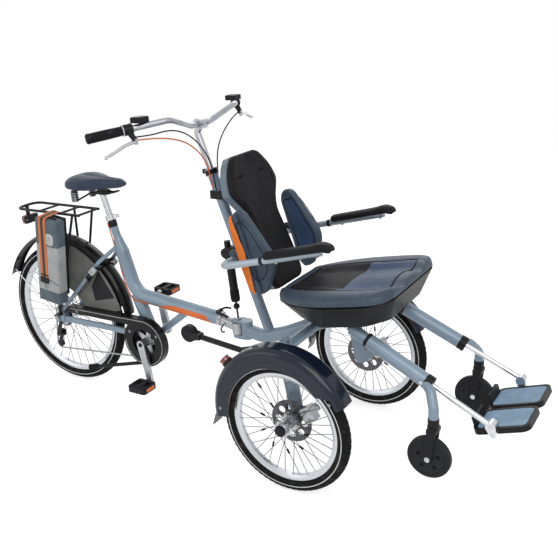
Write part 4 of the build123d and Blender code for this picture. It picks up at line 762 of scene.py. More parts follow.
@dataclass
class Pad:
    """A padded form drawn in rows along a plane, with a sewn line where its panel begins."""

    name: str
    origin: Vector
    across: Vector
    along: Vector
    up: Vector
    rows: Sequence[Sequence[float]]
    start: float
    end: float
    body: Body
    slot: str
    finishes: Sequence[Finish]
    height: Callable[[float, float, float, float], float]
    floor: Callable[[float, float], float]
    seam: Callable[[float], float] = lambda share: 0.7
    steps: int = 56
    lanes: int = 40
    power: float = 5.0
    end_power: float = 3.0
    end_run: float = 0.06
    seam_run: float = 0.06
    panel: tuple[float, float] = (0, 1)
    fill: float = 0.7

    def spot(self, wide: float, share: float, top: bool = True) -> Vector:
        """A place on the pad.

        Args:
            wide: From -1 at one rim to 1 at the other.
            share: From 0 at the start to 1 at the end.
            top: Whether it lies on the top or on the underside.

        Returns:
            The place in metres.
        """
        run = self.start + (self.end - self.start) * share
        half, middle = (*curve(self.rows, run), 0)[:2]
        near = min(share, 1 - share) / self.end_run
        crown = rounded(1 - min(1.0, near), self.end_power)
        edge = rounded(wide, self.power) * crown
        line = self.seam(share)
        lift = self.height(wide, share, edge, line)
        if not top:
            low = self.floor(wide * half, share)
            rim = self.height(wide, share, 0.0, line)
            lift = low + (rim - low) * (1 - edge)
        side = middle + wide * half
        return self.origin + self.across * (side / 1000) + self.along * (run / 1000) + self.up * (lift / 1000)

    def lane_places(self, share: float) -> list[float]:
        """The lanes across a row, closer together near the rim, with one on the sewn line."""
        line = self.seam(share)
        quarter = self.lanes // 4
        right = [line * n / quarter for n in range(quarter + 1)]
        right += [line + (1 - line) * sin(pi / 2 * n / quarter) for n in range(1, quarter + 1)]
        return [-lane for lane in reversed(right[1:])] + right

    def make(self) -> bpy.types.Object:
        """Builds the closed form, row by row.

        Returns:
            The padded piece, riding on its body.
        """
        slots: list[int] = []
        shares = [0.5 - 0.5 * cos(pi * n / self.steps) for n in range(self.steps + 1)]
        count = len(self.lane_places(0.5))
        quarter = self.lanes // 4
        verts = []
        faces = []
        for share in shares:
            for top in (True, False):
                verts.extend(self.spot(wide, share, top) for wide in self.lane_places(share))
        for row in range(self.steps):
            base = row * count * 2
            sewn = self.seam_run < shares[row] < 1 - self.seam_run
            for number in range(count - 1):
                inside = sewn and quarter <= number < count - 1 - quarter
                fitted = 1 if self.panel[0] <= shares[row] <= self.panel[1] or len(self.finishes) < 3 else 2
                for sheet in (0, count):
                    low = base + sheet + number
                    faces.append((low, low + 1, low + 1 + count * 2, low + count * 2))
                    slots.append(fitted if inside and not sheet and len(self.finishes) > 1 else 0)
            for number in (0, count - 1):
                low = base + number
                faces.append((low, low + count, low + count * 3, low + count * 2))
                slots.append(0)
        for row in (0, self.steps):
            for number in range(count - 1):
                low = row * count * 2 + number
                faces.append((low, low + count, low + count + 1, low + 1))
                slots.append(0)
        obj = Shape().add(verts, faces).make(self.name, *self.finishes)
        for polygon, slot in zip(obj.data.polygons, slots):
            polygon.material_index = slot
        weld(obj)
        settle(obj, self.body)
        return obj

    def sewn_line(self, low: float, high: float, lift: float) -> list[Vector]:
        """The closed line of the seam between two shares along the pad.

        Args:
            low: The share where it starts.
            high: The share where it ends.
            lift: How far above the pad it runs, in metres.

        Returns:
            Its places.
        """
        steps = 40
        places = []
        for side, ends in ((-1, (low, high)), (1, (high, low))):
            for number in range(steps + 1):
                share = ends[0] + (ends[1] - ends[0]) * number / steps
                places.append(self.spot(side * self.seam(share), share) + self.up * lift)
            end = ends[1]
            for number in range(1, 12):
                wide = side * self.seam(end) * (1 - number / 6)
                places.append(self.spot(wide, end) + self.up * lift)
        return places

    def piping(self, name: str, radius: float, finish: Finish, low: float = 0.06,
               high: float = 0.94) -> bpy.types.Object:
        """Adds a cord of piping along the seam.

        Args:
            name: The piece's name.
            radius: Its radius in metres.
            finish: Its finish.
            low: The share where it starts.
            high: The share where it ends.

        Returns:
            The piping.
        """
        tube = Shape().tube(self.sewn_line(low, high, radius * 0.2), radius, 8, closed=True).make(name,
                                                                                                  finish)
        return settle(tube, self.body)


def weld(obj: bpy.types.Object, gap: float = 0.00001) -> None:
    """Joins corners that lie in one place and turns the faces outward."""
    edit = bmesh.new()
    edit.from_mesh(obj.data)
    bmesh.ops.remove_doubles(edit, verts=edit.verts, dist=gap)
    bmesh.ops.recalc_face_normals(edit, faces=edit.faces)
    edit.to_mesh(obj.data)
    edit.free()


def bolt(shape: Shape, place: Vector, way: Vector, radius: float, height: float, washer: bool = True) -> None:
    """Adds a socket-head bolt with its washer.

    Args:
        shape: The shape that it is added to.
        place: The middle of its seat.
        way: The direction in which it stands out.
        radius: The head's radius in metres.
        height: The head's height in metres.
        washer: Whether it has a washer.
    """
    profile = [(0, height * 0.4), (radius * 0.5, height * 0.4), (radius * 0.55, height),
               (radius * 0.9, height), (radius, height * 0.85), (radius, 0)]
    shape.turned(place, way, profile, 12)
    if washer:
        shape.turned(place, way, [(radius * 0.8, height * 0.2), (radius * 1.35, height * 0.2),
                                  (radius * 1.4, 0)], 16)


# ---------------------------------------------------------------- studio


@dataclass
class Studio:
    """Camera, floor, world and lights."""

    position: Place = (1.74013, -2.36256, 1.64950)
    turn: float = 32.235
    rise: float = 19.723
    roll: float = -3.565
    lens: float = 50.70

    def build(self) -> None:
        """Sets up everything around the machine."""
        self.camera()
        self.floor()
        self.world()
        self.light("key_light", (2.6, -2.6, 3.6), 3.2, 92.0)
        self.light("fill_light", (-2.8, -3.4, 2.4), 3.0, 30.0)
        self.light("back_light", (-1, 3.6, 3.2), 3.0, 42.0)
        log.info("studio is set up")

    def camera(self) -> None:
        """Places the camera at the photograph's viewpoint."""
        turn, rise_angle, roll = radians(self.turn), radians(self.rise), radians(self.roll)
        back = Vector((sin(turn) * cos(rise_angle), -cos(turn) * cos(rise_angle), sin(rise_angle)))
        right = Vector((cos(turn), sin(turn), 0))
        up = back.cross(right)
        axes = (right * cos(roll) + up * sin(roll), up * cos(roll) - right * sin(roll), back)
        data = bpy.data.cameras.new("camera")
        data.lens = self.lens
        camera = bpy.data.objects.new("camera", data)
        matrix = Matrix.Identity(4)
        for column, axis in enumerate(axes):
            for row in range(3):
                matrix[row][column] = axis[row]
        for row in range(3):
            matrix[row][3] = self.position[row]
        camera.matrix_world = matrix
        bpy.context.scene.collection.objects.link(camera)
        bpy.context.scene.camera = camera

    @staticmethod
    def seen_rays(nodes: bpy.types.Nodes, links: bpy.types.NodeLinks) -> bpy.types.NodeSocket:
        """A socket that is 1 for what the camera, gloss and glass see."""
        path = nodes.new("ShaderNodeLightPath")
        first = nodes.new("ShaderNodeMath")
        first.operation = "MAXIMUM"
        second = nodes.new("ShaderNodeMath")
        second.operation = "MAXIMUM"
        links.new(path.outputs["Is Camera Ray"], first.inputs[0])
        links.new(path.outputs["Is Glossy Ray"], first.inputs[1])
        links.new(first.outputs[0], second.inputs[0])
        links.new(path.outputs["Is Transmission Ray"], second.inputs[1])
        return second.outputs[0]

    def floor(self) -> None:
        """A wide pale floor that keeps the machine's shadow."""
        shader = Shader("pale_floor").set(Base_Color=(0.86, 0.86, 0.86, 1), Roughness=0.75)
        shader.set(Emission_Color=(1, 1, 1, 1), Specular_IOR_Level=0.1)
        seen = self.seen_rays(shader.nodes, shader.links)
        shader.links.new(shader.between(seen, 0.0, 0.62), shader.bsdf.inputs["Emission Strength"])
        half, steps = 14, 8
        verts = [Vector((half * (2 * x / steps - 1), half * (2 * y / steps - 1), -0.0006))
                 for x in range(steps + 1) for y in range(steps + 1)]
        row = steps + 1
        faces = [(x * row + y, x * row + row + y, x * row + row + y + 1, x * row + y + 1)
                 for x in range(steps) for y in range(steps)]
        floor = piece("floor", verts, faces, smooth=False)
        floor.data.materials.append(shader.material)

    def world(self) -> None:
        """A white backdrop that lights the machine softly."""
        world = bpy.data.worlds.new("studio_world")
        bpy.context.scene.world = world
        world.use_nodes = True
        nodes, links = world.node_tree.nodes, world.node_tree.links
        ramp = nodes.new("ShaderNodeMapRange")
        ramp.inputs["To Min"].default_value = 0.4
        ramp.inputs["To Max"].default_value = 1.0
        links.new(self.seen_rays(nodes, links), ramp.inputs["Value"])
        nodes["Background"].inputs["Color"].default_value = (1, 1, 1, 1)
        links.new(ramp.outputs["Result"], nodes["Background"].inputs["Strength"])
        bpy.context.scene.view_settings.view_transform = "Standard"

    @staticmethod
    def light(name: str, place: Place, size: float, power: float) -> None:
        """Adds a soft square light aimed at the machine.

        Args:
            name: The light's name.
            place: Where it hangs, in metres.
            size: The side of its square in metres.
            power: Its power in watts.
        """
        data = bpy.data.lights.new(name, "AREA")
        data.size = size
        data.energy = power
        light = bpy.data.objects.new(name, data)
        light.location = place
        light.rotation_euler = (Vector((0, 0, 0.6)) - Vector(place)).to_track_quat("-Z", "Y").to_euler()
        bpy.context.scene.collection.objects.link(light)


# ---------------------------------------------------------------- wheels


@dataclass
class Tyre:
    """A tyre with moulded tread blocks and a pale line on each wall."""

    node: str
    centre: Place
    radius: float
    body: Body
    width: float = 47.0
    steps: int = 264
    rows: int = 44

    def build(self) -> None:
        """Makes the tyre and its wall lines."""
        shape = Shape()
        round_radius = self.width / 2
        middle = self.radius - round_radius
        rings = []
        for step in range(self.steps):
            turn = 2 * pi * step / self.steps
            ring = []
            for row in range(self.rows + 1):
                phi = radians(150) * (2 * row / self.rows - 1)
                size = round_radius - self.groove(step, phi)
                ring.append(self.place(turn, middle + size * cos(phi), size * sin(phi)))
            rings.append(ring)
        shape.loops(rings, closed=True)
        tyre = shape.make(self.node + "_tread", Finish.TYRE)
        settle(tyre, self.body)
        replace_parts(tyre, self.node)
        lines = Shape()
        for side in (-1, 1):
            profile = []
            for phi, size in ((88, 0.4), (96, 0.5), (96, -0.4), (88, -0.4)):
                angle = radians(phi * side)
                profile.append(((middle + (round_radius + size) * cos(angle)) / 1000,
                                (round_radius + size) * sin(angle) / 1000))
            lines.turned(at(*self.centre), ACROSS, profile, 120, closed=True)
        lines.put(self.node + "_wall_lines", Finish.LINE, self.body, "tyre")

    def groove(self, step: int, phi: float) -> float:
        """How deep the tread is cut at a place, in millimetres."""
        angle = abs(phi) * 180 / pi
        if angle > 62:
            return 0.0
        if 13 < angle < 19 or 34 < angle < 38:
            return 1.6
        shift = 2 if phi > 0 else 0
        if angle <= 13:
            return 1.4 if step % 6 == 0 else 0.0
        return 1.4 if (step + shift) % 4 == 0 else 0.0

    def place(self, turn: float, radius: float, along: float) -> Vector:
        """A place on the tyre from its turn, radius and distance along the axle."""
        x, y, z = self.centre
        return at(x + radius * cos(turn), y + along, z + radius * sin(turn))


@dataclass
class WheelTrim:
    """Spoke nipples, clips, valve and hub parts of one wheel."""

    name: str
    centre: Place
    body: Body
    foot_radius: float
    flange_radius: float
    flange_place: float
    outside: int
    clips: int = 0
    cap_radius: float = 20.0
    cap_place: float = 43.0
    pairs: int = 9
    cross: float = 55.0

    def local(self, radius: float, turn: float, along: float) -> Vector:
        """A place on the wheel from its radius, turn and distance outward along the axle."""
        x, y, z = self.centre
        return at(x + radius * cos(turn), y + self.outside * along, z + radius * sin(turn))

    def spoke_ends(self) -> list[tuple[Vector, Vector, int]]:
        """The inner and outer ends of every spoke with the side of its flange."""
        ends = []
        step = 360 / self.pairs
        for side in (-1, 1):
            for number in range(self.pairs):
                for lean in (-1, 1):
                    foot = radians(number * step + side * step / 4)
                    head = foot + lean * radians(self.cross)
                    inner = self.local(self.flange_radius - 4, head, side * self.flange_place)
                    outer = self.local(self.foot_radius + 3, foot + lean * radians(step / 8), side * 3)
                    ends.append((inner, outer, side))
        return ends

    def build(self) -> None:
        """Makes the wheel's small parts."""
        axis = Vector((0, self.outside, 0))
        nipples, clips = Shape(), Shape()
        heads = Shape()
        for number, (inner, outer, side) in enumerate(self.spoke_ends()):
            way = (outer - inner).normalized()
            nipples.bar(outer - way * 0.011, outer + way * 0.0035, 0.0021, 0.0024, 8)
            heads.turned(inner + Vector((0, self.outside * side * 0.0018, 0)),
                         Vector((0, self.outside * side, 0)), [(0, 0.0016), (0.0022, 0.001), (0.0028, 0)], 8)
            if self.clips and side > 0 and number % 2 == 0:
                middle = inner + (outer - inner) * 0.42
                clips.bar(middle - way * 0.009, middle + way * 0.009, 0.0038, sides=8)
        nipples.put(self.name + "_nipples", Finish.POLISHED, self.body, "bare_metal")
        heads.put(self.name + "_spoke_heads", Finish.STEEL, self.body, "bare_metal")
        if self.clips:
            clips.put(self.name + "_spoke_clips", Finish.BLACK, self.body, "black_plastic")
        valve = Shape()
        valve.bar(self.local(self.foot_radius + 2, 2.2, 0), self.local(self.foot_radius - 26, 2.2, 0), 0.0028,
                  0.0026, 12)
        valve.bar(self.local(self.foot_radius - 14, 2.2, 0), self.local(self.foot_radius - 30, 2.2, 0),
                  0.0042, 0.0036, 12)
        valve.put(self.name + "_valve", Finish.BLACK, self.body, "black_plastic")
        cap = Shape()
        x, y, z = self.centre
        size, place = self.cap_radius / 1000, at(x, y + self.outside * self.cap_place, z)
        profile = [(0, 0.0035), (size * 0.35, 0.0034), (size * 0.4, 0.0022), (size * 0.7, 0.0022),
                   (size * 0.78, 0.0038), (size * 0.98, 0.0022), (size * 1.03, -0.001),
                   (size * 1.04, -0.0065), (size * 0.9, -0.0068)]
        cap.turned(place, axis, profile, 40)
        cap.put(self.name + "_hub_cap", Finish.BLACK, self.body, "black_plastic")
        barrel = Shape()
        ring = [(0.0175, -0.02), (0.0195, -0.016), (0.0175, -0.011), (0.0175, 0.011), (0.0195, 0.016),
                (0.0175, 0.02)]
        barrel.turned(at(*self.centre), axis, ring, 40)
        barrel.put(self.name + "_hub_barrel", Finish.ALLOY, self.body, "bare_metal")


# ---------------------------------------------------------------- chair


@dataclass
class Chair:
    """Seat, backrest, side supports and armrests."""

    seat_tilt: float = 10.0
    back_lean: float = 19.4
    side_lean: float = 17.0
    plate_tilt: float = 18.0
    seat_place: Place = (-112, 0, 545)
    back_place: Place = (-169, 0, 640)
    plate_place: Place = (667, 0, 289.4)
    side_place: tuple[float, float] = (-192, 606)

    def build(self) -> None:
        """Makes the padding and dresses the frame."""
        dress(Finish.FRAME, "chair_frame", "handlebar_post")
        dress(Finish.DARK, "post_brackets")
        dress(Finish.POLISHED, "pivot_pin")
        dress(Finish.BLACK, "seat_pan")
        dress(Finish.SHELL, "backrest_shell")
        dress(Finish.SLATE, "side_pad_shells")
        dress(Finish.POLISHED, "footrest_rods")
        dress(Finish.BLACK, "footplates")
        self.seat()
        self.back()
        for side in Side:
            dress(Finish.ARM, "armrest_" + side.word)
            self.side_pad(side)
            self.arm_pad(side)
        self.foot_pads()
        self.frame_trim()

    def seat(self) -> None:
        """The seat with blue-grey bolsters round a dark well."""
        ahead, up = leaning(self.seat_tilt)
        outline = [(0, 128), (22, 158), (94, 209), (165, 236), (235, 248),
                   (404, 243), (448, 218), (470, 176)]

        def height(wide: float, share: float, edge: float, line: float) -> float:
            """A well at the rear, two thigh troughs and a raised middle."""
            near = abs(wide)
            well = (1 - rise(near, line * 0.5, line)) * rise(share, 0.04, 0.2)
            well *= 1 - 0.55 * rise(share, 0.5, 0.85)
            trough = hump(near, 0.42, 0.2) * rise(share, 0.35, 0.75)
            top = 33 - 15 * well - 17 * trough + 6 * hump(near, 0.86, 0.12)
            sewn = hump(near, line, 0.02) * 3.2
            return 90 + (top - sewn) * edge

        pad = Pad("seat_padding", at(*self.seat_place), ACROSS, ahead, up, outline, 0.0, 470.0, Body.CHAIR,
                  "blue_vinyl", (Finish.SLATE, Finish.WELL, Finish.BLUE), height, lambda side, share: 82.8,
                  lambda share: 0.7 - 0.05 * hump(share, 0.5, 0.3), steps=72, lanes=64, power=4.0,
                  end_run=0.07, seam_run=0.1, panel=(0, 0.5), fill=0.75)
        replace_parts(pad.make(), "seat_cushion")
        pad.piping("seat_piping", 0.0024, Finish.BLACK_VINYL, 0.1, 0.9)

    def back(self) -> None:
        """The black back padding with its two head slots."""
        out, up = leaning(self.back_lean)
        foot = at(*self.back_place)
        outline = [(0, 76), (14, 98), (50.8, 107), (130, 102), (223.5, 92), (274, 88), (320, 107), (370, 144),
                   (390, 150), (439, 135), (480, 106), (498, 86), (508, 62)]

        def height(wide: float, share: float, edge: float, line: float) -> float:
            """A flat lumbar crown with a sewn line and the two head slots."""
            near = abs(wide)
            top = (12 + 5 * hump(share, 0.3, 0.16) * (1 - near ** 2)
                   - 3.5 * hump(near, 0.0, 0.4) * rise(share, 0.5, 0.7))
            top += 3 * hump(near, 0.84, 0.12)
            sewn = (2.6 * hump(near, line, 0.025) + 2.2 * hump(share, 0.56, 0.008)
                    * (1 - rise(near, line * 0.9, line)))
            slot = 9 * hump(abs(wide) * 140, 72, 15) * hump(share * 508, 430, 6)
            return 4.5 + (top - sewn - slot) * edge

        pad = Pad("backrest_padding", foot, ACROSS, up, out, outline, 0.0, 508.0, Body.CHAIR, "black_vinyl",
                  (Finish.BLACK_VINYL, Finish.BLACK_VINYL), height, lambda side, share: 0.4,
                  lambda share: 0.93 - 0.17 * hump(share, 0.76, 0.1), steps=84, lanes=56, power=5.0,
                  end_run=0.03, seam_run=0.02, fill=0.6)
        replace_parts(pad.make(), "backrest_cushion")
        pad.piping("backrest_piping", 0.0019, Finish.BLACK_VINYL, 0.03, 0.97)
        rims = Shape()
        for side in (-1, 1):
            ring = []
            for number in range(28):
                turn = 2 * pi * number / 28
                x = side * 72 + 15.5 * boxed(cos(turn), 0.7)
                run = 430 + 6.0 * sin(turn)
                ring.append(foot + ACROSS * x / 1000 + up * run / 1000 + out * 0.0155)
            rims.tube(ring, 0.0016, 8, closed=True)
        rims.put("backrest_slot_rims", Finish.GLOSS_BLACK, Body.CHAIR, "black_plastic")

    def side_pad(self, side: Side) -> None:
        """One padded side support with a bordered panel and a strip at its rear edge."""
        ahead, up = leaning(self.side_lean)
        sign = side.value
        x, z = self.side_place
        outline = [(40, 10, 32), (47, 22, 40), (62, 34, 42), (88, 47, 49), (125, 61, 63),
                   (165, 64, 67), (210, 57, 60.5), (260, 47.5, 52), (310, 37.5, 43.5), (330, 30, 43),
                   (343, 20, 43), (350, 8, 42)]

        def height(wide: float, share: float, edge: float, line: float) -> float:
            """A raised rim round a flatter sewn panel."""
            near = abs(wide)
            top = 20.5 - 5 * (1 - rise(near, line * 0.82, line)) + 1.8 * hump(near, 0.0, 0.4)
            return 13 + (top - 3.0 * hump(near, line, 0.035)) * edge

        pad = Pad("side_padding_" + side.word, at(x, sign * 184, z), ahead, up, Vector((0, -sign, 0)),
                  outline, 40.0, 350.0, Body.CHAIR, "blue_vinyl", (Finish.SLATE, Finish.BLUE), height,
                  lambda place, share: 0.4, lambda share: 0.62, steps=60, lanes=40, power=3.6, end_run=0.05,
                  seam_run=0.1, fill=0.7)
        made = pad.make()
        if side is Side.LEFT:
            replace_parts(made, "side_pads")
        pad.piping("side_piping_" + side.word, 0.0019, Finish.BLACK_VINYL, 0.13, 0.88)
        strip = Shape()
        rings = []
        for run, rear, wide in ((52, 18, 5), (70, 9, 14), (100, 5, 22), (150, 4, 28), (200, 5, 30),
                                (250, 6.5, 26), (300, 9, 18), (330, 16, 9), (342, 27, 3)):
            base = at(x, sign * 198.2, z) + up * run / 1000
            profile = ((-3.5, -12), (-3.5, -0.5), (-1.5, 1), (wide, 1), (wide + 1, -0.5), (wide, -2),
                       (-0.5, -2), (-0.5, -12))
            rings.append([base + ahead * (rear + reach) / 1000 + ACROSS * sign * out / 1000
                          for reach, out in profile])
        strip.loops(rings)
        strip.put("side_strip_" + side.word, Finish.ORANGE_SHELL, Body.CHAIR, "black_plastic")
        border = Shape()
        outer = []
        for number in range(64):
            turn = 2 * pi * number / 64
            run = 205.0 + 108.0 * sin(turn)
            half, middle = curve(outline, run)
            base = at(x, sign * 197.6, z) + up * run / 1000
            spread = half * 0.62 * boxed(cos(turn), 0.5)
            outer.append(base + ahead * (middle + spread + 8.0) / 1000)
        border.tube(outer, 0.0016, 8, closed=True)
        border.put("side_border_" + side.word, Finish.BLACK_VINYL, Body.CHAIR, "blue_vinyl")

    def arm_pad(self, side: Side) -> None:
        """One arm pad with two pale bolts on its outer side."""
        sign = side.value
        along = Vector((411, 0, 101)).normalized()
        up = Vector((-along.z, 0, along.x))
        middle = at(115, sign * 248, 866) - along * 0.087 + up * 0.0035
        outline = [(-135, 12), (-129, 20), (-118, 25), (-60, 27), (0, 28),
                   (80, 28), (112, 26.5), (126, 21), (135, 12)]

        def floor(place: float, share: float) -> float:
            """The hollow that lies on the tube, lower ahead of it."""
            return max(0.4, sqrt(max(0.0, 12.9 ** 2 - place ** 2)) - 3.3) - 9.0 * rise(share, 0.86, 0.97)

        def height(wide: float, share: float, edge: float, line: float) -> float:
            """The crowned top with a bulb at its front end."""
            top = (14.5 + 1.5 * hump(wide, 0.0, 0.6) - 1.3 * hump(abs(wide), line, 0.05)
                   + 4.0 * hump(share, 0.84, 0.1))
            return 10.5 + top * edge - 8.0 * rise(share, 0.86, 1.0)

        body = Body.ARM_LEFT if side is Side.LEFT else Body.ARM_RIGHT
        pad = Pad("arm_padding_" + side.word, middle, ACROSS, along, up, outline, -135.0, 135.0, body,
                  "black_vinyl", (Finish.BLACK_VINYL, Finish.BLACK_VINYL), height, floor, lambda share: 0.8,
                  steps=48, lanes=36, power=3.2, end_run=0.08, fill=0.8)
        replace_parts(pad.make(), "arm_pad_" + side.word)
        tube = Shape()
        bolts = Shape()
        ring = middle - along * 0.15 - up * 0.0035
        tube.turned(ring, along, [(0.0126, -0.007), (0.0142, -0.006), (0.0142, 0.006), (0.0126, 0.007)], 28)
        for run in (-95, 70):
            bolt(bolts, middle + along * (run / 1000) - up * 0.0157, -up, 0.0045, 0.004)
        tube.put("arm_collars_" + side.word, Finish.BLACK, body, "black_plastic")
        bolts.put("arm_bolts_" + side.word, Finish.PALE, body, "bright_metal")

    def foot_pads(self) -> None:
        """Two light blue ribbed pads and the trim of their trays."""
        along, up = leaning(self.plate_tilt)
        origin = at(*self.plate_place)
        outline = [(-56.4, 50), (-50, 58), (-40, 62.3), (26, 62.4), (92, 62.3), (102, 58),
                   (108.4, 50)]

        def height(wide: float, share: float, edge: float, line: float) -> float:
            """Fine ribs across the tread."""
            wave = abs((share * 13) % 1 - 0.5)
            rib = (1.2 * (1 - rise(wave, 0.06, 0.16)) * (1 - rise(abs(wide), 0.78, 0.86))
                   * rise(share, 0.05, 0.08))
            return 16.2 + (4.2 - rib * (1 - rise(share, 0.92, 0.95))) * edge

        for side in Side:
            place = origin + Vector((0, side.value * 0.083, 0))
            pad = Pad("foot_padding_" + side.word, place, ACROSS, along, up, outline, -56.4, 108.4,
                      Body.CHAIR, "blue_foam", (Finish.FOOT_PAD, Finish.FOOT_PAD), height,
                      lambda place, share: 14.4, lambda share: 0.8, steps=150, lanes=24, power=7.0,
                      end_run=0.03, fill=0.9)
            made = pad.make()
            if side is Side.LEFT:
                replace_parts(made, "foot_pads")
        ribs, knuckles = Shape(), Shape()
        for side in (-1, 1):
            for number in range(9):
                y = side * (83 + (number - 4) * 10.5) / 1000
                base = origin + along * (-69.2 / 1000) + Vector((0, y, 0))
                ribs.tube([base + up * 0.006, base + up * 0.028, base + up * 0.0502,
                           base + up * 0.0518 + along * 0.004], 0.0017, 8)
            hinge = at(667, side * 175, 329.4)
            out = ACROSS * side
            bolt(knuckles, hinge + out * 0.017, out, 0.0062, 0.005)
            bolt(knuckles, origin + along * 0.012 + up * 0.012 + Vector((0, side * 0.192, 0)), out, 0.0052,
                 0.004)
        ribs.put("heel_ribs", Finish.BLACK, Body.CHAIR, "black_plastic")
        knuckles.put("footplate_bolts", Finish.POLISHED, Body.CHAIR, "bright_metal")

    def frame_trim(self) -> None:
        """Weld beads, bolts and collars of the chair's frame."""
        beads = Shape()
        for x, y, z, radius in ((-40, 253.2, 500, 20), (-40, 27.5, 500, 20.3), (170, 27.5, 572, 16.3),
                                (0, 262.5, 250, 14.2), (-28, 262.5, 536, 7.2)):
            for side in (1, -1):
                weld_bead(beads, at(x, side * y, z), ACROSS, radius)
        beads.put("chair_weld_beads", Finish.FRAME, Body.CHAIR, "frame_paint")
        collars, bolts = Shape(), Shape()
        for side in (-1, 1):
            rear, front = at(170, side * 156, 572), at(465, side * 170, 428)
            along = (front - rear).normalized()
            collars.turned(front, along, [(0.0252, -0.026), (0.0268, -0.025), (0.0268, -0.001),
                                          (0.0252, 0.0006), (0.0255, 0.0008), (0.0105, 0.0012),
                                          (0.0105, 0.0004)], 40)
            collars.turned(rear + along * 0.07, along, [(0.0214, -0.007), (0.0258, -0.004), (0.0258, 0.004),
                                                        (0.0252, 0.006)], 40)
            for x, y, z, size, height in ((-40, 262, 500, 9, 5), (0, 262, 284, 4.5, 4),
                                          (36, 262, 266, 4.5, 4), (436, 195, 442, 5, 4)):
                bolt(bolts, at(x, side * y, z), ACROSS * side, size / 1000, height / 1000)
        collars.put("side_tube_collars", Finish.BLACK, Body.CHAIR, "black_plastic")
        bolts.put("chair_bolts", Finish.POLISHED, Body.CHAIR, "steel")


def weld_bead(shape: Shape, place: Vector, way: Vector, radius: float, size: float = 2.6) -> None:
    """Adds a rippled weld bead round a tube.

    Args:
        shape: The shape that it is added to.
        place: The middle of the joint.
        way: The tube's direction.
        radius: The tube's radius in millimetres.
        size: The bead's radius in millimetres.
    """
    steps, ripples, depth = 72, 24, 0.35
    ring = []
    for number, out in enumerate(around(way.normalized(), steps)):
        ring.append(place + out * (radius + depth * sin(2 * pi * number / steps * ripples)) / 1000)
    shape.tube(ring, size / 1000, 8, closed=True)


# ---------------------------------------------------------------- handlebar


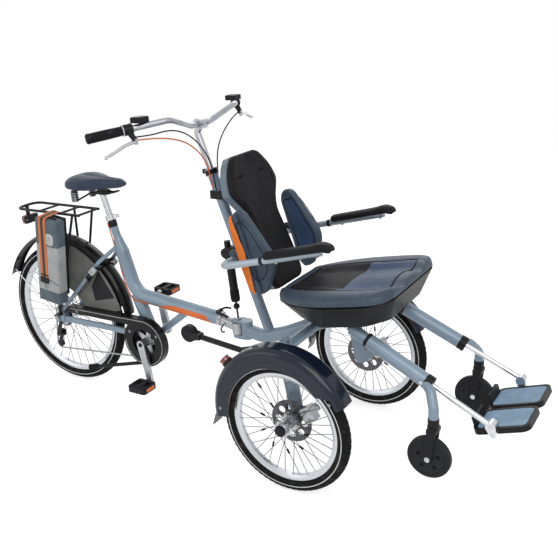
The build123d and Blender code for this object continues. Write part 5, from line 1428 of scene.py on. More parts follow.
@dataclass
class Handlebar:
    """Grips, brake lever blades, control boxes and cables."""

    end: Place = (-650, 448, 1238)
    before: Place = (-488, 200, 1269)
    post_clamp: Place = (-473, 0, 1031)
    post_foot: Place = (-266, 0, 428)
    strut_foot: Place = (-410, 0, 460)
    strut_top: Place = (-434, 0, 775)
    levers: Sequence[Place] = ((-545, 324, 1213), (-556, 372, 1204), (-575, 450, 1177))
    cables: Sequence[Sequence[Place]] = (
        ((-552, -314.8, 1226), (-543, -278, 1224), (-530, -240, 1224), (-512, -199, 1230),
         (-494, -153, 1223), (-476, -113, 1199), (-458, -84, 1163), (-446, -62, 1121),
         (-444, -42, 1077), (-450, -27, 1029), (-446, -22.5, 980)),
        ((-546, -314.7, 1216), (-536, -274, 1213), (-514, -232, 1209), (-495, -186, 1199),
         (-480, -142, 1182), (-464, -108, 1154), (-453, -80, 1119), (-452, -54, 1080),
         (-459, -36, 1034), (-455, -28.5, 986)),
        ((-549, 314.8, 1220), (-547, 279, 1211), (-551, 241, 1187), (-550, 200, 1160),
         (-540, 159, 1135), (-525, 119, 1110), (-506, 82, 1082), (-487, 53, 1047),
         (-474, 34, 1008), (-466, 25.5, 980)))

    def build(self) -> None:
        """Makes and dresses everything on the bar."""
        dress(Finish.BAR, "handlebar")
        dress(Finish.ALLOY, "stem")
        dress(Finish.BLACK, "brake_levers")
        dress(Finish.DARK, "spring_strut")
        self.grips()
        self.blades()
        self.boxes()
        self.cable_runs()
        self.stem_trim()

    def axis(self) -> tuple[Vector, Vector]:
        """The bar's left end and the direction towards it."""
        end, before = at(*self.end), at(*self.before)
        return end, (end - before).normalized()

    def grips(self) -> None:
        """Ribbed rubber grips with a pale flange at their inner end."""
        end, along = self.axis()
        grips, flanges = Shape(), Shape()
        profile = []
        ribs = 26
        for number in range(ribs * 4 + 1):
            run = -0.123 + 0.122 * number / (ribs * 4)
            share = number / (ribs * 4)
            body = 0.0158 + 0.0012 * share + 0.0009 * hump(share, 0.97, 0.03) + 0.0007 * sin(pi * share)
            profile.append((body + (0.0006 if number % 4 in (1, 2) else -0.0003), run))
        profile += [(0.0165, 0.001), (0.0145, 0.0028), (0.009, 0.003), (0, 0.003)]
        grips.turned(end, along, [(0.0114, -0.1235)] + profile, 28).mirrored()
        flanges.turned(end, along, [(0.0118, -0.1265), (0.0196, -0.1262), (0.0202, -0.1248),
                                    (0.0196, -0.1232), (0.0118, -0.123)], 36, closed=True)
        flanges.mirrored()
        made = grips.put("ribbed_grips", Finish.RUBBER, Body.CHAIR, "rubber")
        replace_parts(made, "grips")
        flanges.put("grip_flanges", Finish.PALE, Body.CHAIR, "bright_metal")

    def blades(self) -> None:
        """Silver brake lever blades with a rounded tip."""
        blade, pivots = Shape(), Shape()
        places = smooth_path(self.levers, 12)
        blade.tube(places, 0.0066, 16, swell=lambda share: 0.95 + 0.12 * cos(share * pi)
                   + 0.35 * hump(share, 1.0, 0.06), flat=0.86)
        blade.mirrored()
        root = places[0]
        pivots.turned(root, Vector((0.2, 0, 1)), [(0, 0.0108), (0.005, 0.0108), (0.0072, 0.0094),
                                                  (0.0072, -0.0094), (0.005, -0.0108), (0, -0.0108)],
                      20).mirrored()
        blade.put("brake_lever_blades", Finish.POLISHED, Body.CHAIR, "bright_metal")
        pivots.put("brake_lever_pivots", Finish.ALLOY, Body.CHAIR, "bare_metal")

    def boxes(self) -> None:
        """Lids and buttons of the two control boxes and the clamp bands beside the grips."""
        lids, buttons, bands = Shape(), Shape(), Shape()
        end, along = self.axis()
        for side in (-1, 1):
            middle = at(-552, side * 286, 1281 + 9.6)
            lids.brick(middle, Vector((0.0195, 0.0225, 0.0012)))
            buttons.brick(middle + Vector((0.004, side * 0.006, 0.0018)), Vector((0.006, 0.009, 0.0012)))
            buttons.brick(middle + Vector((-0.011, 0, 0.0018)), Vector((0.003, 0.012, 0.001)))
        for run in (-0.134, -0.152):
            bands.turned(end + along * run, along, [(0.0188, -0.0026), (0.0198, -0.002), (0.0198, 0.002),
                                                    (0.0188, 0.0026)], 36)
        bands.mirrored()
        lids.put("control_lids", Finish.GLOSS_BLACK, Body.CHAIR, "black_plastic", edge=0.0009)
        buttons.put("control_buttons", Finish.PALE, Body.CHAIR, "grey_plastic", edge=0.0006)
        bands.put("control_bands", Finish.GLOSS_BLACK, Body.CHAIR, "black_plastic")

    def cable_runs(self) -> None:
        """Three control cables, one of them orange."""
        for number, (route, finish) in enumerate(zip(self.cables,
                                                     (Finish.CABLE, Finish.CABLE_ORANGE, Finish.CABLE)), 1):
            data = bpy.data.curves.new("bar_cable_%d" % number, "CURVE")
            data.dimensions = "3D"
            data.bevel_depth = 0.0025
            data.bevel_resolution = 4
            data.resolution_u = 10
            spline = data.splines.new("NURBS")
            spline.points.add(len(route) - 1)
            for point, place in zip(spline.points, route):
                point.co = (*at(*place), 1)
            spline.order_u = 3
            spline.use_endpoint_u = True
            data.use_fill_caps = True
            data.materials.append(finish.get())
            cable = bpy.data.objects.new("bar_cable_%d" % number, data)
            bpy.context.scene.collection.objects.link(cable)
            settle(cable, Body.CHAIR)
            if number == 1:
                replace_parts(cable, "bar_cables")

    def stem_trim(self) -> None:
        """Clamp bolts, the height lever and the strut's dust boots."""
        bolts, bands, boots = Shape(), Shape(), Shape()
        for y in (-15, 15):
            bolt(bolts, at(-508 + 20.8, y, 1224), Vector((1, 0, 0)), 0.0042, 0.005)
        top, foot = at(*self.post_clamp), at(*self.post_foot)
        down = (foot - top).normalized()
        bands.turned(top - down * 0.013, down, [(0.0252, -0.01), (0.0262, -0.009), (0.0262, 0.009),
                                                (0.0252, 0.01)], 40)
        bands.brick(top - down * 0.013 + Vector((-0.031, 0, 0)), Vector((0.009, 0.006, 0.009)))
        lever = Shape().tube([top - down * 0.013 + Vector(step)
                              for step in ((-0.036, 0.004, 0), (-0.04, 0.02, -0.006), (-0.03, 0.042, -0.014),
                                           (-0.012, 0.056, -0.02))], 0.0048, 12)
        low, high = at(*self.strut_foot), at(*self.strut_top)
        way = (high - low).normalized()
        for start, rows, size in ((0.075, 7, 0.0185), (0.226, 4, 0.0178)):
            profile = [(0.0168, -0.001)]
            for number in range(rows):
                profile += [(size + 0.0006, number * 0.006 + 0.001), (size - 0.0008, number * 0.006 + 0.004)]
            profile.append((0.0168, rows * 0.006))
            boots.turned(low + way * start, way, profile, 36)
        bolts.put("stem_bolts", Finish.STEEL, Body.CHAIR, "steel")
        bands.put("stem_clamp_band", Finish.GLOSS_BLACK, Body.CHAIR, "black_plastic", edge=0.0008)
        lever.put("stem_clamp_lever", Finish.ALLOY, Body.CHAIR, "bare_metal")
        boots.put("strut_boots", Finish.RUBBER, Body.CHAIR, "rubber")


# ---------------------------------------------------------------- mudguards and brakes


@dataclass
class FrontGuards:
    """Creases, rims and lamps of the front mudguards, and the brakes beside them."""

    centre: tuple[float, float] = (-5, 283)
    skirt_y: float = 390.5

    def build(self) -> None:
        """Makes and dresses the parts round the front wheels."""
        dress(Finish.GUARD, "front_mudguards")
        dress(Finish.RED, "mudguard_lamps")
        dress(Finish.ALLOY, "brake_calipers")
        creases, beads, bases, bolts = Shape(), Shape(), Shape(), Shape()
        for side in (-1, 1):
            crease = [self.place(248.0, turn, side * self.skirt_y) for turn in range(58, 172, 3)]
            crease += [self.place(222.0, turn, side * self.skirt_y) for turn in range(168, 60, -3)]
            creases.tube(crease, 0.0016, 8, closed=True)
            beads.tube([self.place(204.0, turn, side * (self.skirt_y - 1.5)) for turn in range(50, 187, 2)],
                       0.0022, 8)
            lamp = self.place(271.8, 143.0, side * HALF_TRACK)
            out = leaning(143)[0]
            for rim in (((0.0192, 0), (0.0215, 0), (0.0215, 0.009), (0.0205, 0.0105), (0.0192, 0.0105)),
                        ((0.0192, 0.0225), (0.0198, 0.0225), (0.0198, 0.0246), (0.0165, 0.0252),
                         (0.0165, 0.0243))):
                bases.turned(lamp, out, rim, 40, closed=True)
            middle = self.caliper(side)
            for shift in (-16, 16):
                spot = middle + leaning(32)[1] * shift / 1000 + ACROSS * side * 0.0192
                bolt(bolts, spot, ACROSS * side, 0.0048, 0.004)
            for turn in (30, 179):
                bolt(bolts, self.place(236.0, turn, side * self.skirt_y), ACROSS * side, 0.0042, 0.003)
        creases.put("mudguard_creases", Finish.GUARD, Body.CHAIR, "navy_gloss")
        beads.put("mudguard_beads", Finish.GUARD, Body.CHAIR, "navy_gloss")
        bases.put("lamp_rims", Finish.GLOSS_BLACK, Body.CHAIR, "black_plastic")
        bolts.put("brake_and_mudguard_bolts", Finish.STEEL, Body.CHAIR, "steel")

    def place(self, radius: float, degrees: float, y: float) -> Vector:
        """A place on the mudguard from its radius and its angle up from forward."""
        turn = radians(degrees)
        return at(self.centre[0] + radius * cos(turn), y, self.centre[1] + radius * sin(turn))

    @staticmethod
    def caliper(side: int) -> Vector:
        """The middle of a brake caliper."""
        turn = radians(32)
        return at(86 * cos(turn), side * (HALF_TRACK - 40), FRONT_RADIUS + 86 * sin(turn))


@dataclass
class RearGuards:
    """The rear mudguard's bead and stays, and the coat guards' trim."""

    centre: tuple[float, float] = (-1350, 342)

    def build(self) -> None:
        """Makes and dresses the parts round the rear wheel."""
        dress(Finish.REAR_GUARD, "rear_mudguard")
        dress(Finish.GREY, "coat_guards")
        beads, stays, clips = Shape(), Shape(), Shape()
        for side in (-1, 1):
            line = []
            for degrees in range(7, 158, 2):
                turn = radians(degrees)
                line.append(at(self.centre[0] + 361.2 * cos(turn), side * 30.2,
                               self.centre[1] + 361.2 * sin(turn)))
            beads.tube(line, 0.0019, 8)
            for degrees in (100, 150):
                turn = radians(degrees)
                foot = at(-WHEELBASE + 16 * cos(turn), side * 77.7, REAR_RADIUS + 16 * sin(turn))
                head = at(self.centre[0] + 362 * cos(turn), side * 28.75, self.centre[1] + 360.75 * sin(turn))
                stays.bar(foot + (head - foot) * 0.02, foot + (head - foot) * 0.985, 0.0029, sides=12)
                clips.bar(foot + (head - foot) * 0.955, foot + (head - foot) * 0.992, 0.0046, sides=12)
            self.triangle(clips, side)
        beads.put("rear_mudguard_beads", Finish.REAR_GUARD, Body.REAR, "navy_gloss")
        stays.put("rear_mudguard_stays", Finish.POLISHED, Body.REAR, "steel")
        clips.put("rear_guard_clips", Finish.BLACK, Body.REAR, "black_plastic")

    @staticmethod
    def triangle(shape: Shape, side: int) -> None:
        """Adds the dark three-cornered holder between a coat guard and the stay."""
        corners = []
        for radius, degrees in ((352, 22), (352, 44), (262, 40), (236, 26)):
            turn = radians(degrees)
            corners.append((-WHEELBASE + radius * cos(turn), REAR_RADIUS + radius * sin(turn)))
        rings = []
        for y in (32.9, 35.2):
            rings.append([at(x, side * y, z) for x, z in corners])
        shape.loops(rings)


# ---------------------------------------------------------------- rear bicycle


@dataclass
class RearBicycle:
    """Frame, saddle, coupling, lock and stand of the rear part."""

    clamp: tuple[float, float] = (-1024, 804)
    bend: tuple[float, float] = (-933, 484)
    tube_end: tuple[float, float] = (-488, 438)
    tube_radius: float = 29.0
    stripe_start: Place = (-880, 0, 478.5)
    stripe_end: Place = (-520, 0, 441.3)
    stand_tip: Place = (-1165, -64, 118)
    stand_top: Place = (-885, -25, 178)

    def build(self) -> None:
        """Makes and dresses the frame's parts."""
        dress(Finish.FRAME, "rear_frame")
        dress(Finish.POLISHED, "seat_post")
        dress(Finish.DARK, "saddle_rails")
        dress(Finish.COUPLING, "coupling")
        dress(Finish.GLOSS_BLACK, "ring_lock")
        dress(Finish.BLACK, "side_stand")
        dress(Finish.STEEL, "rear_axle")
        self.stripe()
        self.saddle()
        self.coupling()
        self.lock()
        self.beads()

    def stripe(self) -> None:
        """The plain orange stripe along the lower half of the main tube."""
        start, end = at(*self.stripe_start), at(*self.stripe_end)
        way = (end - start).normalized()
        up = Vector((-way.z, 0, way.x))
        shape = Shape()
        for side in (-1, 1):
            rings = []
            for number in range(41):
                share = number / 40
                middle = start + (end - start) * share
                low, high = -68, -68.0 + 86.0 * rise(share, 0.0, 0.5) * (1 - 0.7 * rise(share, 0.9, 1.0))
                ring, under = [], []
                for step in range(13):
                    angle = radians(low + (max(high, low + 3) - low) * step / 12)
                    outward = ACROSS * side * cos(angle) + up * sin(angle)
                    ring.append(middle + outward * (self.tube_radius + 0.35) / 1000)
                    under.insert(0, middle + outward * (self.tube_radius - 0.2) / 1000)
                rings.append(ring + under)
            shape.loops(rings)
        shape.put("main_tube_stripe", Finish.STRIPE, Body.REAR, "frame_paint")
        places = ((-1040, -10, 792), (-1019, -13, 715), (-1001, -15, 650), (-982, -23, 580),
                  (-961, -28, 520), (-930, -31, 471), (-890, -28, 463), (-850, -25.5, 457))
        cable = Shape().tube(smooth_path(places), 0.0026, 10).make("frame_cable", Finish.CABLE_ORANGE)
        settle(cable, Body.REAR)

    def saddle(self) -> None:
        """The wide saddle with a groove and a sewn edge."""
        tops = [(0, 984, 38), (0.08, 991, 52), (0.2, 994.6, 58), (0.42, 990, 55), (0.68, 987.5, 46),
                (0.92, 986, 37), (1, 982, 30)]
        outline = [(0, 40), (10, 66), (30, 87), (58, 97), (90, 95), (119, 84),
                   (155, 58), (192, 38), (235, 27), (268, 21), (283, 13)]

        def height(wide: float, share: float, edge: float, line: float) -> float:
            """A crowned top with a groove along its middle."""
            top, depth = curve(tops, share)
            rim = top - depth * 0.62
            groove = 5.0 * hump(wide, 0.0, 0.17) * rise(share, 0.12, 0.3) * (1 - rise(share, 0.75, 0.92))
            return rim + (top - rim - groove - 1.6 * hump(abs(wide), line, 0.03)) * edge

        def floor(place: float, share: float) -> float:
            """The saddle's lower edge."""
            top, depth = curve(tops, share)
            return top - depth

        pad = Pad("saddle_cover", at(-1208, 0, 0), ACROSS, Vector((1, 0, 0)), Vector((0, 0, 1)), outline, 0.0,
                  283.0, Body.REAR, "black_vinyl", (Finish.SADDLE, Finish.SADDLE), height, floor,
                  lambda share: 0.84, steps=72, lanes=48, power=2.7, end_power=2.2, end_run=0.12,
                  seam_run=0.1, fill=0.8)
        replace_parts(pad.make(), "saddle")
        springs = Shape()
        for side in (-1, 1):
            coil = []
            for number in range(97):
                turn = 2 * pi * number / 16
                coil.append(at(-1166 + 14.6 * cos(turn), side * (52 + 14.6 * sin(turn)),
                               887 + 43 * number / 96))
            springs.tube(coil, 0.0021, 8)
        springs.put("saddle_springs", Finish.STEEL, Body.REAR, "steel")

    def coupling(self) -> None:
        """The black lever bar and hook on the bare coupling, with its bolts."""
        bar, bolts = Shape(), Shape()
        bar.tube(smooth_path(((-500, -10, 474), (-488, -26, 478), (-466, -34, 476), (-436, -36, 468)), 6),
                 0.0052, 12)
        bar.tube(smooth_path(((-500, 10, 474), (-488, 26, 478), (-466, 34, 476)), 6), 0.0042, 12)
        bar.turned(at(-500, 0, 470), ACROSS, [(0, -0.015), (0.0085, -0.015), (0.0095, -0.013),
                                              (0.0095, 0.013), (0.0085, 0.015), (0, 0.015)], 24)
        bar.tube(smooth_path(((-470, -22, 424), (-476, -32, 410), (-470, -34, 398), (-458, -33, 400)), 6),
                 0.0032, 10)
        tube_end = at(self.tube_end[0], 0, self.tube_end[1])
        way = (at(-410, 0, 417) - tube_end).normalized()
        collar = Shape().turned(tube_end, way, [(0.0291, -0.012), (0.0302, -0.011), (0.0302, -0.001),
                                                (0.0262, 0.004), (0.0236, 0.005)], 44)
        for side in (-1, 1):
            bolt(bolts, at(-462, side * 23, 431), ACROSS * side, 0.005, 0.004)
        bar.put("coupling_lever", Finish.BLACK, Body.REAR, "black_plastic")
        collar.put("coupling_collar", Finish.COUPLING, Body.REAR, "bare_metal")
        bolts.put("coupling_bolts", Finish.STEEL, Body.REAR, "steel")

    def lock(self) -> None:
        """The ring lock's pale lock block, key and bolts."""
        out, up = leaning(45)
        centre = at(-WHEELBASE, 0, REAR_RADIUS) + out * 0.335
        matrix = Matrix((out, ACROSS, up)).transposed()
        block, key = Shape(), Shape()
        block.brick(centre + out * 0.03 + Vector((0, -0.071, 0)), Vector((0.018, 0.008, 0.0125)), matrix)
        block.brick(centre + out * 0.03 + Vector((0, 0.071, 0)), Vector((0.014, 0.006, 0.0115)), matrix)
        key.turned(centre + out * 0.03 + Vector((0, -0.079, 0)), Vector((0, -1, 0)),
                   [(0.0072, 0), (0.0068, 0.002), (0.003, 0.0024), (0.0026, 0.0014), (0, 0.0014)], 24)
        for y in (-0.052, 0.052):
            bolt(key, centre + out * 0.045 + Vector((0, y, 0)) + up * 0.009, up, 0.0042, 0.003)
        block.put("ring_lock_block", Finish.PALE, Body.REAR, "grey_plastic", edge=0.003, segments=3)
        key.put("ring_lock_cylinder", Finish.STEEL, Body.REAR, "steel")

    def beads(self) -> None:
        """Weld beads at the joints of the rear frame, and bands on the seat tube and stand."""
        beads, bands = Shape(), Shape()
        clamp, bend = at(self.clamp[0], 0, self.clamp[1]), at(self.bend[0], 0, self.bend[1])
        down = (bend - clamp).normalized()
        for side in (-1, 1):
            weld_bead(beads, at(-862, side * 24.5, 293), ACROSS, 24.3)
        weld_bead(beads, at(-868.5, 0, 319), bend - at(-862, 0, 293), 27.2)
        bands.turned(clamp, down, [(0.0172, 0.03), (0.0182, 0.028), (0.0182, 0.002), (0.0172, 0.0004)], 40)
        beads.put("rear_weld_beads", Finish.FRAME, Body.REAR, "frame_paint")
        bands.put("seat_tube_band", Finish.DARK, Body.REAR, "dark_paint")
        foot = Shape()
        start = at(*self.stand_tip)
        way = (start - at(*self.stand_top)).normalized()
        foot.turned(start, way, [(0.0085, -0.004), (0.0126, 0.002), (0.0132, 0.012), (0.0128, 0.03),
                                 (0.0134, 0.046), (0.009, 0.0492), (0, 0.0492)], 28)
        foot.put("stand_foot", Finish.RUBBER, Body.STAND, "black_plastic")


@dataclass
class Drive:
    """Chain, case trim, cranks, pedals and gear changer."""

    bracket: tuple[float, float] = (-862, 293)
    chain_y: float = 47.5
    case_y: float = -74.4
    crank: float = 170.0
    crank_lean: float = 9.0
    pedal_y: float = 146.0
    pitch: float = 12.7

    def build(self) -> None:
        """Makes and dresses the drive."""
        dress(Finish.GLOSS_BLACK, "chain_case")
        dress(Finish.DARK, "derailleur")
        dress(Finish.ALLOY, "crankset")
        dress(Finish.BLACK, "pedal_left", "pedal_right")
        self.chain()
        self.case_line()
        self.sprocket_teeth()
        self.cranks()
        self.pedals()

    def route(self) -> list[tuple[float, float]]:
        """The chain's line round chainring, sprocket and lower pulley, as x and z."""
        wheels = [(*self.bracket, 80.8), (-WHEELBASE, REAR_RADIUS, 39.8), (-1399, 188, 24.8)]
        places: list[tuple[float, float]] = []
        links = []
        for number, (x, z, radius) in enumerate(wheels):
            far_x, far_z, far = wheels[(number + 1) % 3]
            span = hypot(far_x - x, far_z - z)
            way = ((far_x - x) / span, (far_z - z) / span)
            lean = (radius - far) / span
            side = sqrt(1 - lean * lean)
            normal = (way[0] * lean + way[1] * side, way[1] * lean - way[0] * side)
            links.append(((x + radius * normal[0], z + radius * normal[1]),
                          (far_x + far * normal[0], far_z + far * normal[1]), normal))
        for number, (start, end, normal) in enumerate(links):
            places += [start, end]
            x, z, radius = wheels[(number + 1) % 3]
            after = links[(number + 1) % 3][2]
            turn = (after[0] * normal[1] - after[1] * normal[0], after[0] * normal[0] + after[1] * normal[1])
            angle = self.clockwise(turn)
            steps = max(2, int(angle * radius / 4))
            for step in range(1, steps):
                part = -angle * step / steps
                places.append((x + radius * (normal[0] * cos(part) + normal[1] * sin(part)),
                               z + radius * (normal[1] * cos(part) - normal[0] * sin(part))))
        return places

    @staticmethod
    def clockwise(turn: tuple[float, float]) -> float:
        """The angle from one normal to the next, in the chain's way round."""
        sine, cosine = turn
        length = hypot(sine, cosine)
        angle = 0.0
        steps = 720
        best = 9.0
        for number in range(steps):
            trial = 2 * pi * number / steps
            miss = hypot(-sin(trial) - sine / length, cos(trial) - cosine / length)
            if miss < best:
                best, angle = miss, trial
        return angle

    def chain(self) -> None:
        """Links and rollers along the chain's line."""
        places = self.route()
        places.append(places[0])
        runs = [0]
        for one, two in zip(places, places[1:]):
            runs.append(runs[-1] + hypot(two[0] - one[0], two[1] - one[1]))
        count = int(runs[-1] / self.pitch / 2) * 2
        pins = []
        row = 0
        for number in range(count):
            run = runs[-1] * number / count
            while runs[row + 1] < run:
                row += 1
            share = (run - runs[row]) / max(1e-6, runs[row + 1] - runs[row])
            one, two = places[row], places[row + 1]
            pins.append(at(one[0] + (two[0] - one[0]) * share, -self.chain_y,
                           one[1] + (two[1] - one[1]) * share))
        plates, rollers = Shape(), Shape()
        for number, pin in enumerate(pins):
            after = pins[(number + 1) % count]
            way = (after - pin).normalized()
            up = Vector((-way.z, 0, way.x))
            wide = 0.0029 if number % 2 else 0.0021
            for side in (-1, 1):
                rings = []
                for y in (side * wide, side * (wide - 0.0007)):
                    ring = []
                    for end, centre in ((-1, pin), (1, after)):
                        for step in range(5):
                            angle = pi / 2 + pi * step / 4
                            out = way * cos(angle) * -end + up * sin(angle) * -end
                            ring.append(centre + Vector((0, y, 0)) - out * 0.0034 * (-1))
                    middle = (pin + after) / 2 + Vector((0, y, 0))
                    ring.insert(5, middle - up * 0.0024 * (1 if (ring[4] - middle).dot(up) < 0 else -1))
                    ring.append(middle - up * 0.0024 * (1 if (ring[-1] - middle).dot(up) < 0 else -1))
                    rings.append(ring)
                plates.loops(rings)
            rollers.bar(pin + Vector((0, -0.003, 0)), pin + Vector((0, 0.003, 0)), 0.0017, sides=8)
        made = plates.put("chain_plates", Finish.STEEL, Body.REAR, "steel", smooth=False)
        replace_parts(made, "chain")
        rollers.put("chain_pins", Finish.POLISHED, Body.REAR, "steel")

    def case_line(self) -> None:
        """The pale line round the chain case and the screws in its face."""
        lines, screws = Shape(), Shape()
        x, z = self.bracket
        line = [at(x + 99.5 * cos(radians(turn)), self.case_y, z + 99.5 * sin(radians(turn)))
                for turn in range(-180, 92, 3)]
        line += [at(far, self.case_y, z + up) for far, up in ((-1000, 97.5), (-1150, 96.3), (-1278, 95.4))]
        lines.tube(line, 0.0011, 8)
        for turn in (30, 150, 270):
            bolt(screws, at(x + 84 * cos(radians(turn)), self.case_y + 0.2, z + 84 * sin(radians(turn))),
                 Vector((0, -1, 0)), 0.0042, 0.0025)
        bolt(screws, at(-1240, self.case_y + 0.2, z + 86), Vector((0, -1, 0)), 0.0042, 0.0025)
        lines.put("chain_case_line", Finish.LINE, Body.REAR, "black_plastic")
        screws.put("chain_case_screws", Finish.STEEL, Body.REAR, "steel")

    def sprocket_teeth(self) -> None:
        """Teeth round the four rear sprockets."""
        teeth = Shape()
        for number, radius in enumerate((52, 44, 37, 31)):
            middle = -34.0 - number * 6.0 - 1.5
            count = int(2 * pi * radius / 12.7)
            outer, inner = (radius + 1.2) / 1000, (radius - 2.5) / 1000
            rings = []
            for y in (middle - 0.9, middle + 0.9):
                ring = []
                for step in range(count * 4):
                    turn = 2 * pi * step / (count * 4)
                    size = outer if step % 4 in (1, 2) else inner
                    ring.append(at(-WHEELBASE, y, REAR_RADIUS) + Vector((cos(turn), 0, sin(turn))) * size)
                rings.append(ring)
            teeth.loops(rings)
        teeth.put("sprocket_teeth", Finish.STEEL, Body.REAR_WHEEL, "steel", smooth=False)

    def cranks(self) -> None:
        """Crank caps and the hollow along each crank."""
        caps, ribs = Shape(), Shape()
        lean = radians(self.crank_lean)
        for side in (-1, 1):
            hub = at(self.bracket[0], side * 97.2, self.bracket[1])
            out = ACROSS * side
            caps.turned(hub, out, [(0, 0.003), (0.007, 0.003), (0.0095, 0.0018), (0.0102, 0)], 24)
            way = Vector((-side * sin(lean), 0, side * cos(lean)))
            cross = Vector((way.z, 0, -way.x))
            loop = []
            for number in range(32):
                turn = 2 * pi * number / 32
                along = 0.086 + 0.058 * (1 if cos(turn) > 0 else -1) + 0.006 * cos(turn)
                loop.append(hub + way * along + cross * 0.0062 * sin(turn) + out * 0.0001)
            ribs.tube(loop, 0.0011, 8, closed=True)
        caps.put("crank_caps", Finish.BLACK, Body.CRANK, "black_plastic")
        ribs.put("crank_ribs", Finish.ALLOY, Body.CRANK, "bare_metal")

    def pedals(self) -> None:
        """Ribbed treads on the pedals, with an orange reflector at each end."""
        lean = radians(self.crank_lean)
        for side in Side:
            sign = side.value
            x = self.bracket[0] - sign * self.crank * sin(lean)
            z = self.bracket[1] + sign * self.crank * cos(lean)
            treads, glass = Shape(), Shape()
            for face in (-1, 1):
                for row in (-40, 40):
                    for number in range(7):
                        y = sign * (self.pedal_y + (number - 3) * 10.5)
                        treads.brick(at(x + row, y, z + face * 12.4), Vector((0.0035, 0.0034, 0.0012)))
                for row in range(3):
                    for y in (self.pedal_y - 33, self.pedal_y + 33):
                        treads.brick(at(x + (row - 1) * 9, sign * y, z + face * 12.4),
                                     Vector((0.003, 0.0045, 0.0012)))
            for end in (-1, 1):
                glass.brick(at(x + end * 46.1, sign * self.pedal_y, z), Vector((0.0008, 0.024, 0.0075)))
            body = Body.PEDAL_LEFT if side is Side.LEFT else Body.PEDAL_RIGHT
            treads.put("pedal_treads_" + side.word, Finish.RUBBER, body, "black_plastic", edge=0.0007)
            glass.put("pedal_reflectors_" + side.word, Finish.STRIPE, body, "red_lens", edge=0.0005)


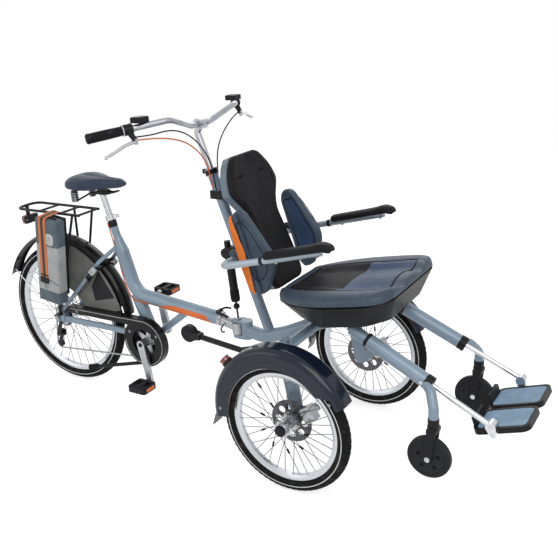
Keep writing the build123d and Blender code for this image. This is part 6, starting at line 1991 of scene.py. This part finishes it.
@dataclass
class Rack:
    """Battery, straps and lamp on the rear rack."""

    low: Place = (-1320, -120, 440)
    size: Place = (128, 60, 385)
    lean: float = 8.0
    lamp_place: Place = (-1529, 0, 766)

    def build(self) -> None:
        """Makes and dresses the rack."""
        dress(Finish.DARK, "rear_rack")
        dress(Finish.RED, "rack_lamp")
        self.battery()
        self.straps()
        self.lamp()

    def local(self, x: float, y: float, z: float) -> Vector:
        """A place on the leaning battery, from its own length, width and height."""
        lean = radians(self.lean)
        return at(self.low[0] + x * cos(lean) + z * sin(lean), self.low[1] + y,
                  self.low[2] - x * sin(lean) + z * cos(lean))

    def ring(self, z: float, inset: float, corner: float = 14.0, steps: int = 6) -> list[Vector]:
        """The battery's rounded outline at a height."""
        half_x, half_y = self.size[0] / 2 - inset, self.size[1] / 2 - inset
        corner = max(2.0, corner - inset)
        places = []
        for quarter, (x, y) in enumerate(((1, 1), (-1, 1), (-1, -1), (1, -1))):
            for step in range(steps + 1):
                turn = pi / 2 * (quarter + step / steps)
                places.append(self.local(x * (half_x - corner) + corner * cos(turn),
                                         y * (half_y - corner) + corner * sin(turn), z))
        return places

    def battery(self) -> None:
        """The battery's shell with its foot, seams and darker upper part."""
        top = self.size[2]
        levels = [(0, 5, 1), (2, 1.5, 1), (6, 0.3, 1), (52, 0.2, 1), (53.2, 1.8, 1), (55.2, 1.8, 1),
                  (56.4, 0, 0), (120, 0, 0), (200, 0, 0), (266, 0, 0), (267.2, 1.6, 1), (269, 1.6, 1),
                  (270.2, 0.2, 1), (340, 0.4, 1), (top - 12, 0.8, 1), (top - 5, 2.6, 1), (top - 1.5, 6, 1),
                  (top, 10, 1)]
        shape = Shape().loops([self.ring(z, inset) for z, inset, _ in levels])
        obj = shape.make("battery_shell", Finish.BATTERY, Finish.BATTERY_DARK)
        count = len(self.ring(0, 0))
        for row in range(len(levels) - 1):
            for number in range(count):
                obj.data.polygons[row * count + number].material_index = levels[row][2]
        for cap in (-2, -1):
            obj.data.polygons[cap].material_index = 1
        settle(obj, Body.REAR)
        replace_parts(obj, "battery")
        cover, disc = Shape(), Shape()
        rings = []
        for y, grow in ((-29.6, 0), (-31, 0), (-31.8, -1.4)):
            ring = []
            for number in range(32):
                turn = 2 * pi * number / 32
                ring.append(self.local(24 + (21 + grow) * boxed(cos(turn), 0.6), y,
                                       300 + (27 + grow) * boxed(sin(turn), 0.6)))
            rings.append(ring)
        cover.loops(rings)
        disc.turned(self.local(24, -31.8, 304), Vector((0, -1, 0)),
                    [(0.0105, 0), (0.0098, 0.0016), (0.0045, 0.0018), (0.004, 0.0008), (0, 0.0008)], 32)
        cover.put("battery_lock_cover", Finish.PALE, Body.REAR, "grey_plastic")
        disc.put("battery_lock", Finish.STEEL, Body.REAR, "steel")
        seam = Shape().tube([self.local(-63 + 126 * n / 24, -30.2, 96 + 14 * sin(pi * n / 24))
                             for n in range(25)], 0.0012, 8)
        handle = Shape().tube([self.local(x, y, z) for x, y, z in ((-38, 0, top - 3), (-38, 0, top + 2),
                                                                   (-30, 0, top + 3.5), (30, 0, top + 3.5),
                                                                   (38, 0, top + 2), (38, 0, top - 3))],
                              0.005, 12)
        seam.put("battery_seam", Finish.BLACK, Body.REAR, "black_plastic")
        handle.put("battery_handle", Finish.BLACK, Body.REAR, "black_plastic")

    def straps(self) -> None:
        """Three woven straps over the deck's edge and down the battery, in a buckle with a hook."""
        woven = {"front": Finish.STRAP_ORANGE, "middle": Finish.STRAP_BLACK, "rear": Finish.STRAP_ORANGE}
        for number, (name, finish) in enumerate(woven.items()):
            shift = (1 - number) * 14.5 - 15.4
            path = [self.local(shift, y, z) for y, z in ((-31.4, 100), (-31.5, 180), (-31.5, 260),
                                                         (-31.6, 330), (-31.8, 372), (-30.5, 383),
                                                         (-26, 390.5))]
            path += [self.local(shift, y, z) for y, z in ((-10, 394), (20, 397), (44, 398), (60, 397.5))]
            strap = Shape()
            rings = []
            along_x = (self.local(1, 0, 0) - self.local(0, 0, 0)).normalized()
            for row, place in enumerate(path):
                before, after = path[max(0, row - 1)], path[min(len(path) - 1, row + 1)]
                out = (after - before).normalized().cross(along_x)
                wide = along_x * 0.0065
                thick = out * 0.0009
                rings.append([place + wide + thick, place - wide + thick, place - wide - thick,
                              place + wide - thick])
            strap.loops(rings)
            made = strap.put("strap_" + name, finish, Body.REAR, "strap", smooth=False)
            if name == "middle":
                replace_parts(made, "rack_straps")
        buckle = Shape()
        matrix = Matrix((self.local(1, 0, 0) - self.local(0, 0, 0), Vector((0, 0.001, 0)),
                         self.local(0, 0, 1) - self.local(0, 0, 0)))
        matrix = Matrix([row.normalized() for row in matrix]).transposed()
        buckle.brick(self.local(-15.4, -33.2, 104.0), Vector((0.0235, 0.0026, 0.013)), matrix)
        buckle.brick(self.local(-15.4, -33.4, 128.0), Vector((0.0225, 0.0014, 0.003)), matrix)
        hook = Shape().tube([self.local(x, y, z) for x, y, z in ((-15.4, -33, 92), (-15.4, -34, 78),
                                                                 (-13, -35.5, 68), (-6, -36, 64),
                                                                 (0, -35.5, 69), (1, -34.5, 76))], 0.0022, 10)
        buckle.put("strap_buckle", Finish.GLOSS_BLACK, Body.REAR, "black_plastic", edge=0.0012)
        hook.put("strap_hook", Finish.STEEL, Body.REAR, "steel")

    def lamp(self) -> None:
        """The rim, body and screws of the rear lamp."""
        rim, screws = Shape(), Shape()
        place = at(*self.lamp_place)
        ring = []
        for number in range(36):
            turn = 2 * pi * number / 36
            ring.append(place + Vector((-0.0135, 0.0335 * boxed(cos(turn), 0.5),
                                        0.0165 * boxed(sin(turn), 0.5))))
        rim.tube(ring, 0.0016, 8, closed=True)
        rim.brick(place + Vector((0.008, 0, 0)), Vector((0.0075, 0.0356, 0.0174)))
        for y in (-0.03, 0.03):
            bolt(screws, place + Vector((0.0155, y, 0)), Vector((1, 0, 0)), 0.0025, 0.0015)
        rim.put("rear_lamp_body", Finish.BLACK, Body.REAR, "black_plastic", edge=0.0012)
        screws.put("rear_lamp_screws", Finish.STEEL, Body.REAR, "steel")


@dataclass
class Casters:
    """Forks and wheels of the two casters and the rear support wheel."""

    place: tuple[float, float] = (482, 200)
    caster_y: float = 235.0

    def build(self) -> None:
        """Dresses the small wheels and adds their trim."""
        dress(Finish.DARK, "anti_tip_arm")
        dress(Finish.BLACK, "anti_tip_wheel")
        for side in Side:
            y = side.value * self.caster_y
            dress(Finish.BLACK, "caster_fork_" + side.word)
            dress(Finish.DARK_GREY, "caster_wheel_" + side.word)
            fork = Body.CASTER_LEFT if side is Side.LEFT else Body.CASTER_RIGHT
            wheel = Body.CASTER_WHEEL_LEFT if side is Side.LEFT else Body.CASTER_WHEEL_RIGHT
            bolts, caps, rings = Shape(), Shape(), Shape()
            for end in (-1, 1):
                out = ACROSS * end
                bolt(bolts, at(self.place[0], y + end * 24.3, self.place[1]), out, 0.0068, 0.004)
                middle = at(self.place[0], y + end * 14.1, self.place[1])
                rings.turned(middle, out, [(0.056, -0.001), (0.0575, 0.0011), (0.0605, 0.0011),
                                           (0.062, -0.001)], 60)
                rings.turned(middle, out, [(0.016, -0.001), (0.0165, 0.0013), (0.0205, 0.0013),
                                           (0.021, -0.001)], 36)
            caps.turned(at(495, y, 344.7), Vector((0, 0, 1)), [(0.019, -0.036), (0.0205, -0.034),
                                                               (0.0205, -0.0275), (0.019, -0.026)], 36)
            bolts.put("caster_bolts_" + side.word, Finish.POLISHED, fork, "steel")
            caps.put("caster_crown_ring_" + side.word, Finish.DARK, fork, "dark_paint")
            rings.put("caster_rings_" + side.word, Finish.BLACK, wheel, "black_plastic")
        trim = Shape()
        for end in (-1, 1):
            trim.turned(at(-497, -205 + end * 11.1, 458), ACROSS * end,
                        [(0.022, -0.0005), (0.0225, 0.0009), (0.0265, 0.0009), (0.027, -0.0005)], 40)
        trim.put("support_wheel_rings", Finish.DARK_GREY, Body.ANTI_TIP, "black_plastic")


def build_wheels() -> None:
    """Dresses the three wheels and makes their tyres and trim."""
    dress(Finish.FRONT_RIM, "front_wheel_left", "front_wheel_right")
    dress(Finish.REAR_RIM, "rear_wheel")
    Tyre("front_tyre_left", (0, HALF_TRACK, FRONT_RADIUS), FRONT_RADIUS, Body.FRONT_LEFT).build()
    Tyre("front_tyre_right", (0, -HALF_TRACK, FRONT_RADIUS), FRONT_RADIUS, Body.FRONT_RIGHT).build()
    Tyre("rear_tyre", (-WHEELBASE, 0, REAR_RADIUS), REAR_RADIUS, Body.REAR_WHEEL, steps=330).build()
    for side, body in ((1, Body.FRONT_LEFT), (-1, Body.FRONT_RIGHT)):
        WheelTrim(body.value, (0, side * HALF_TRACK, FRONT_RADIUS), body, 186.7, 29.0, 24.0, side,
                  clips=9).build()
    WheelTrim("rear_wheel", (-WHEELBASE, 0, REAR_RADIUS), Body.REAR_WHEEL, 263.7, 34.0, 28.0, 1,
              cap_radius=12.0, cap_place=57.0).build()


def main() -> None:
    """Builds everything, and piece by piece."""
    logging.basicConfig(level=logging.INFO, format="%(name)s: %(message)s")
    Studio().build()
    build_wheels()
    Chair().build()
    Handlebar().build()
    FrontGuards().build()
    RearGuards().build()
    RearBicycle().build()
    Drive().build()
    Rack().build()
    Casters().build()


if __name__ == "__main__":
    main()
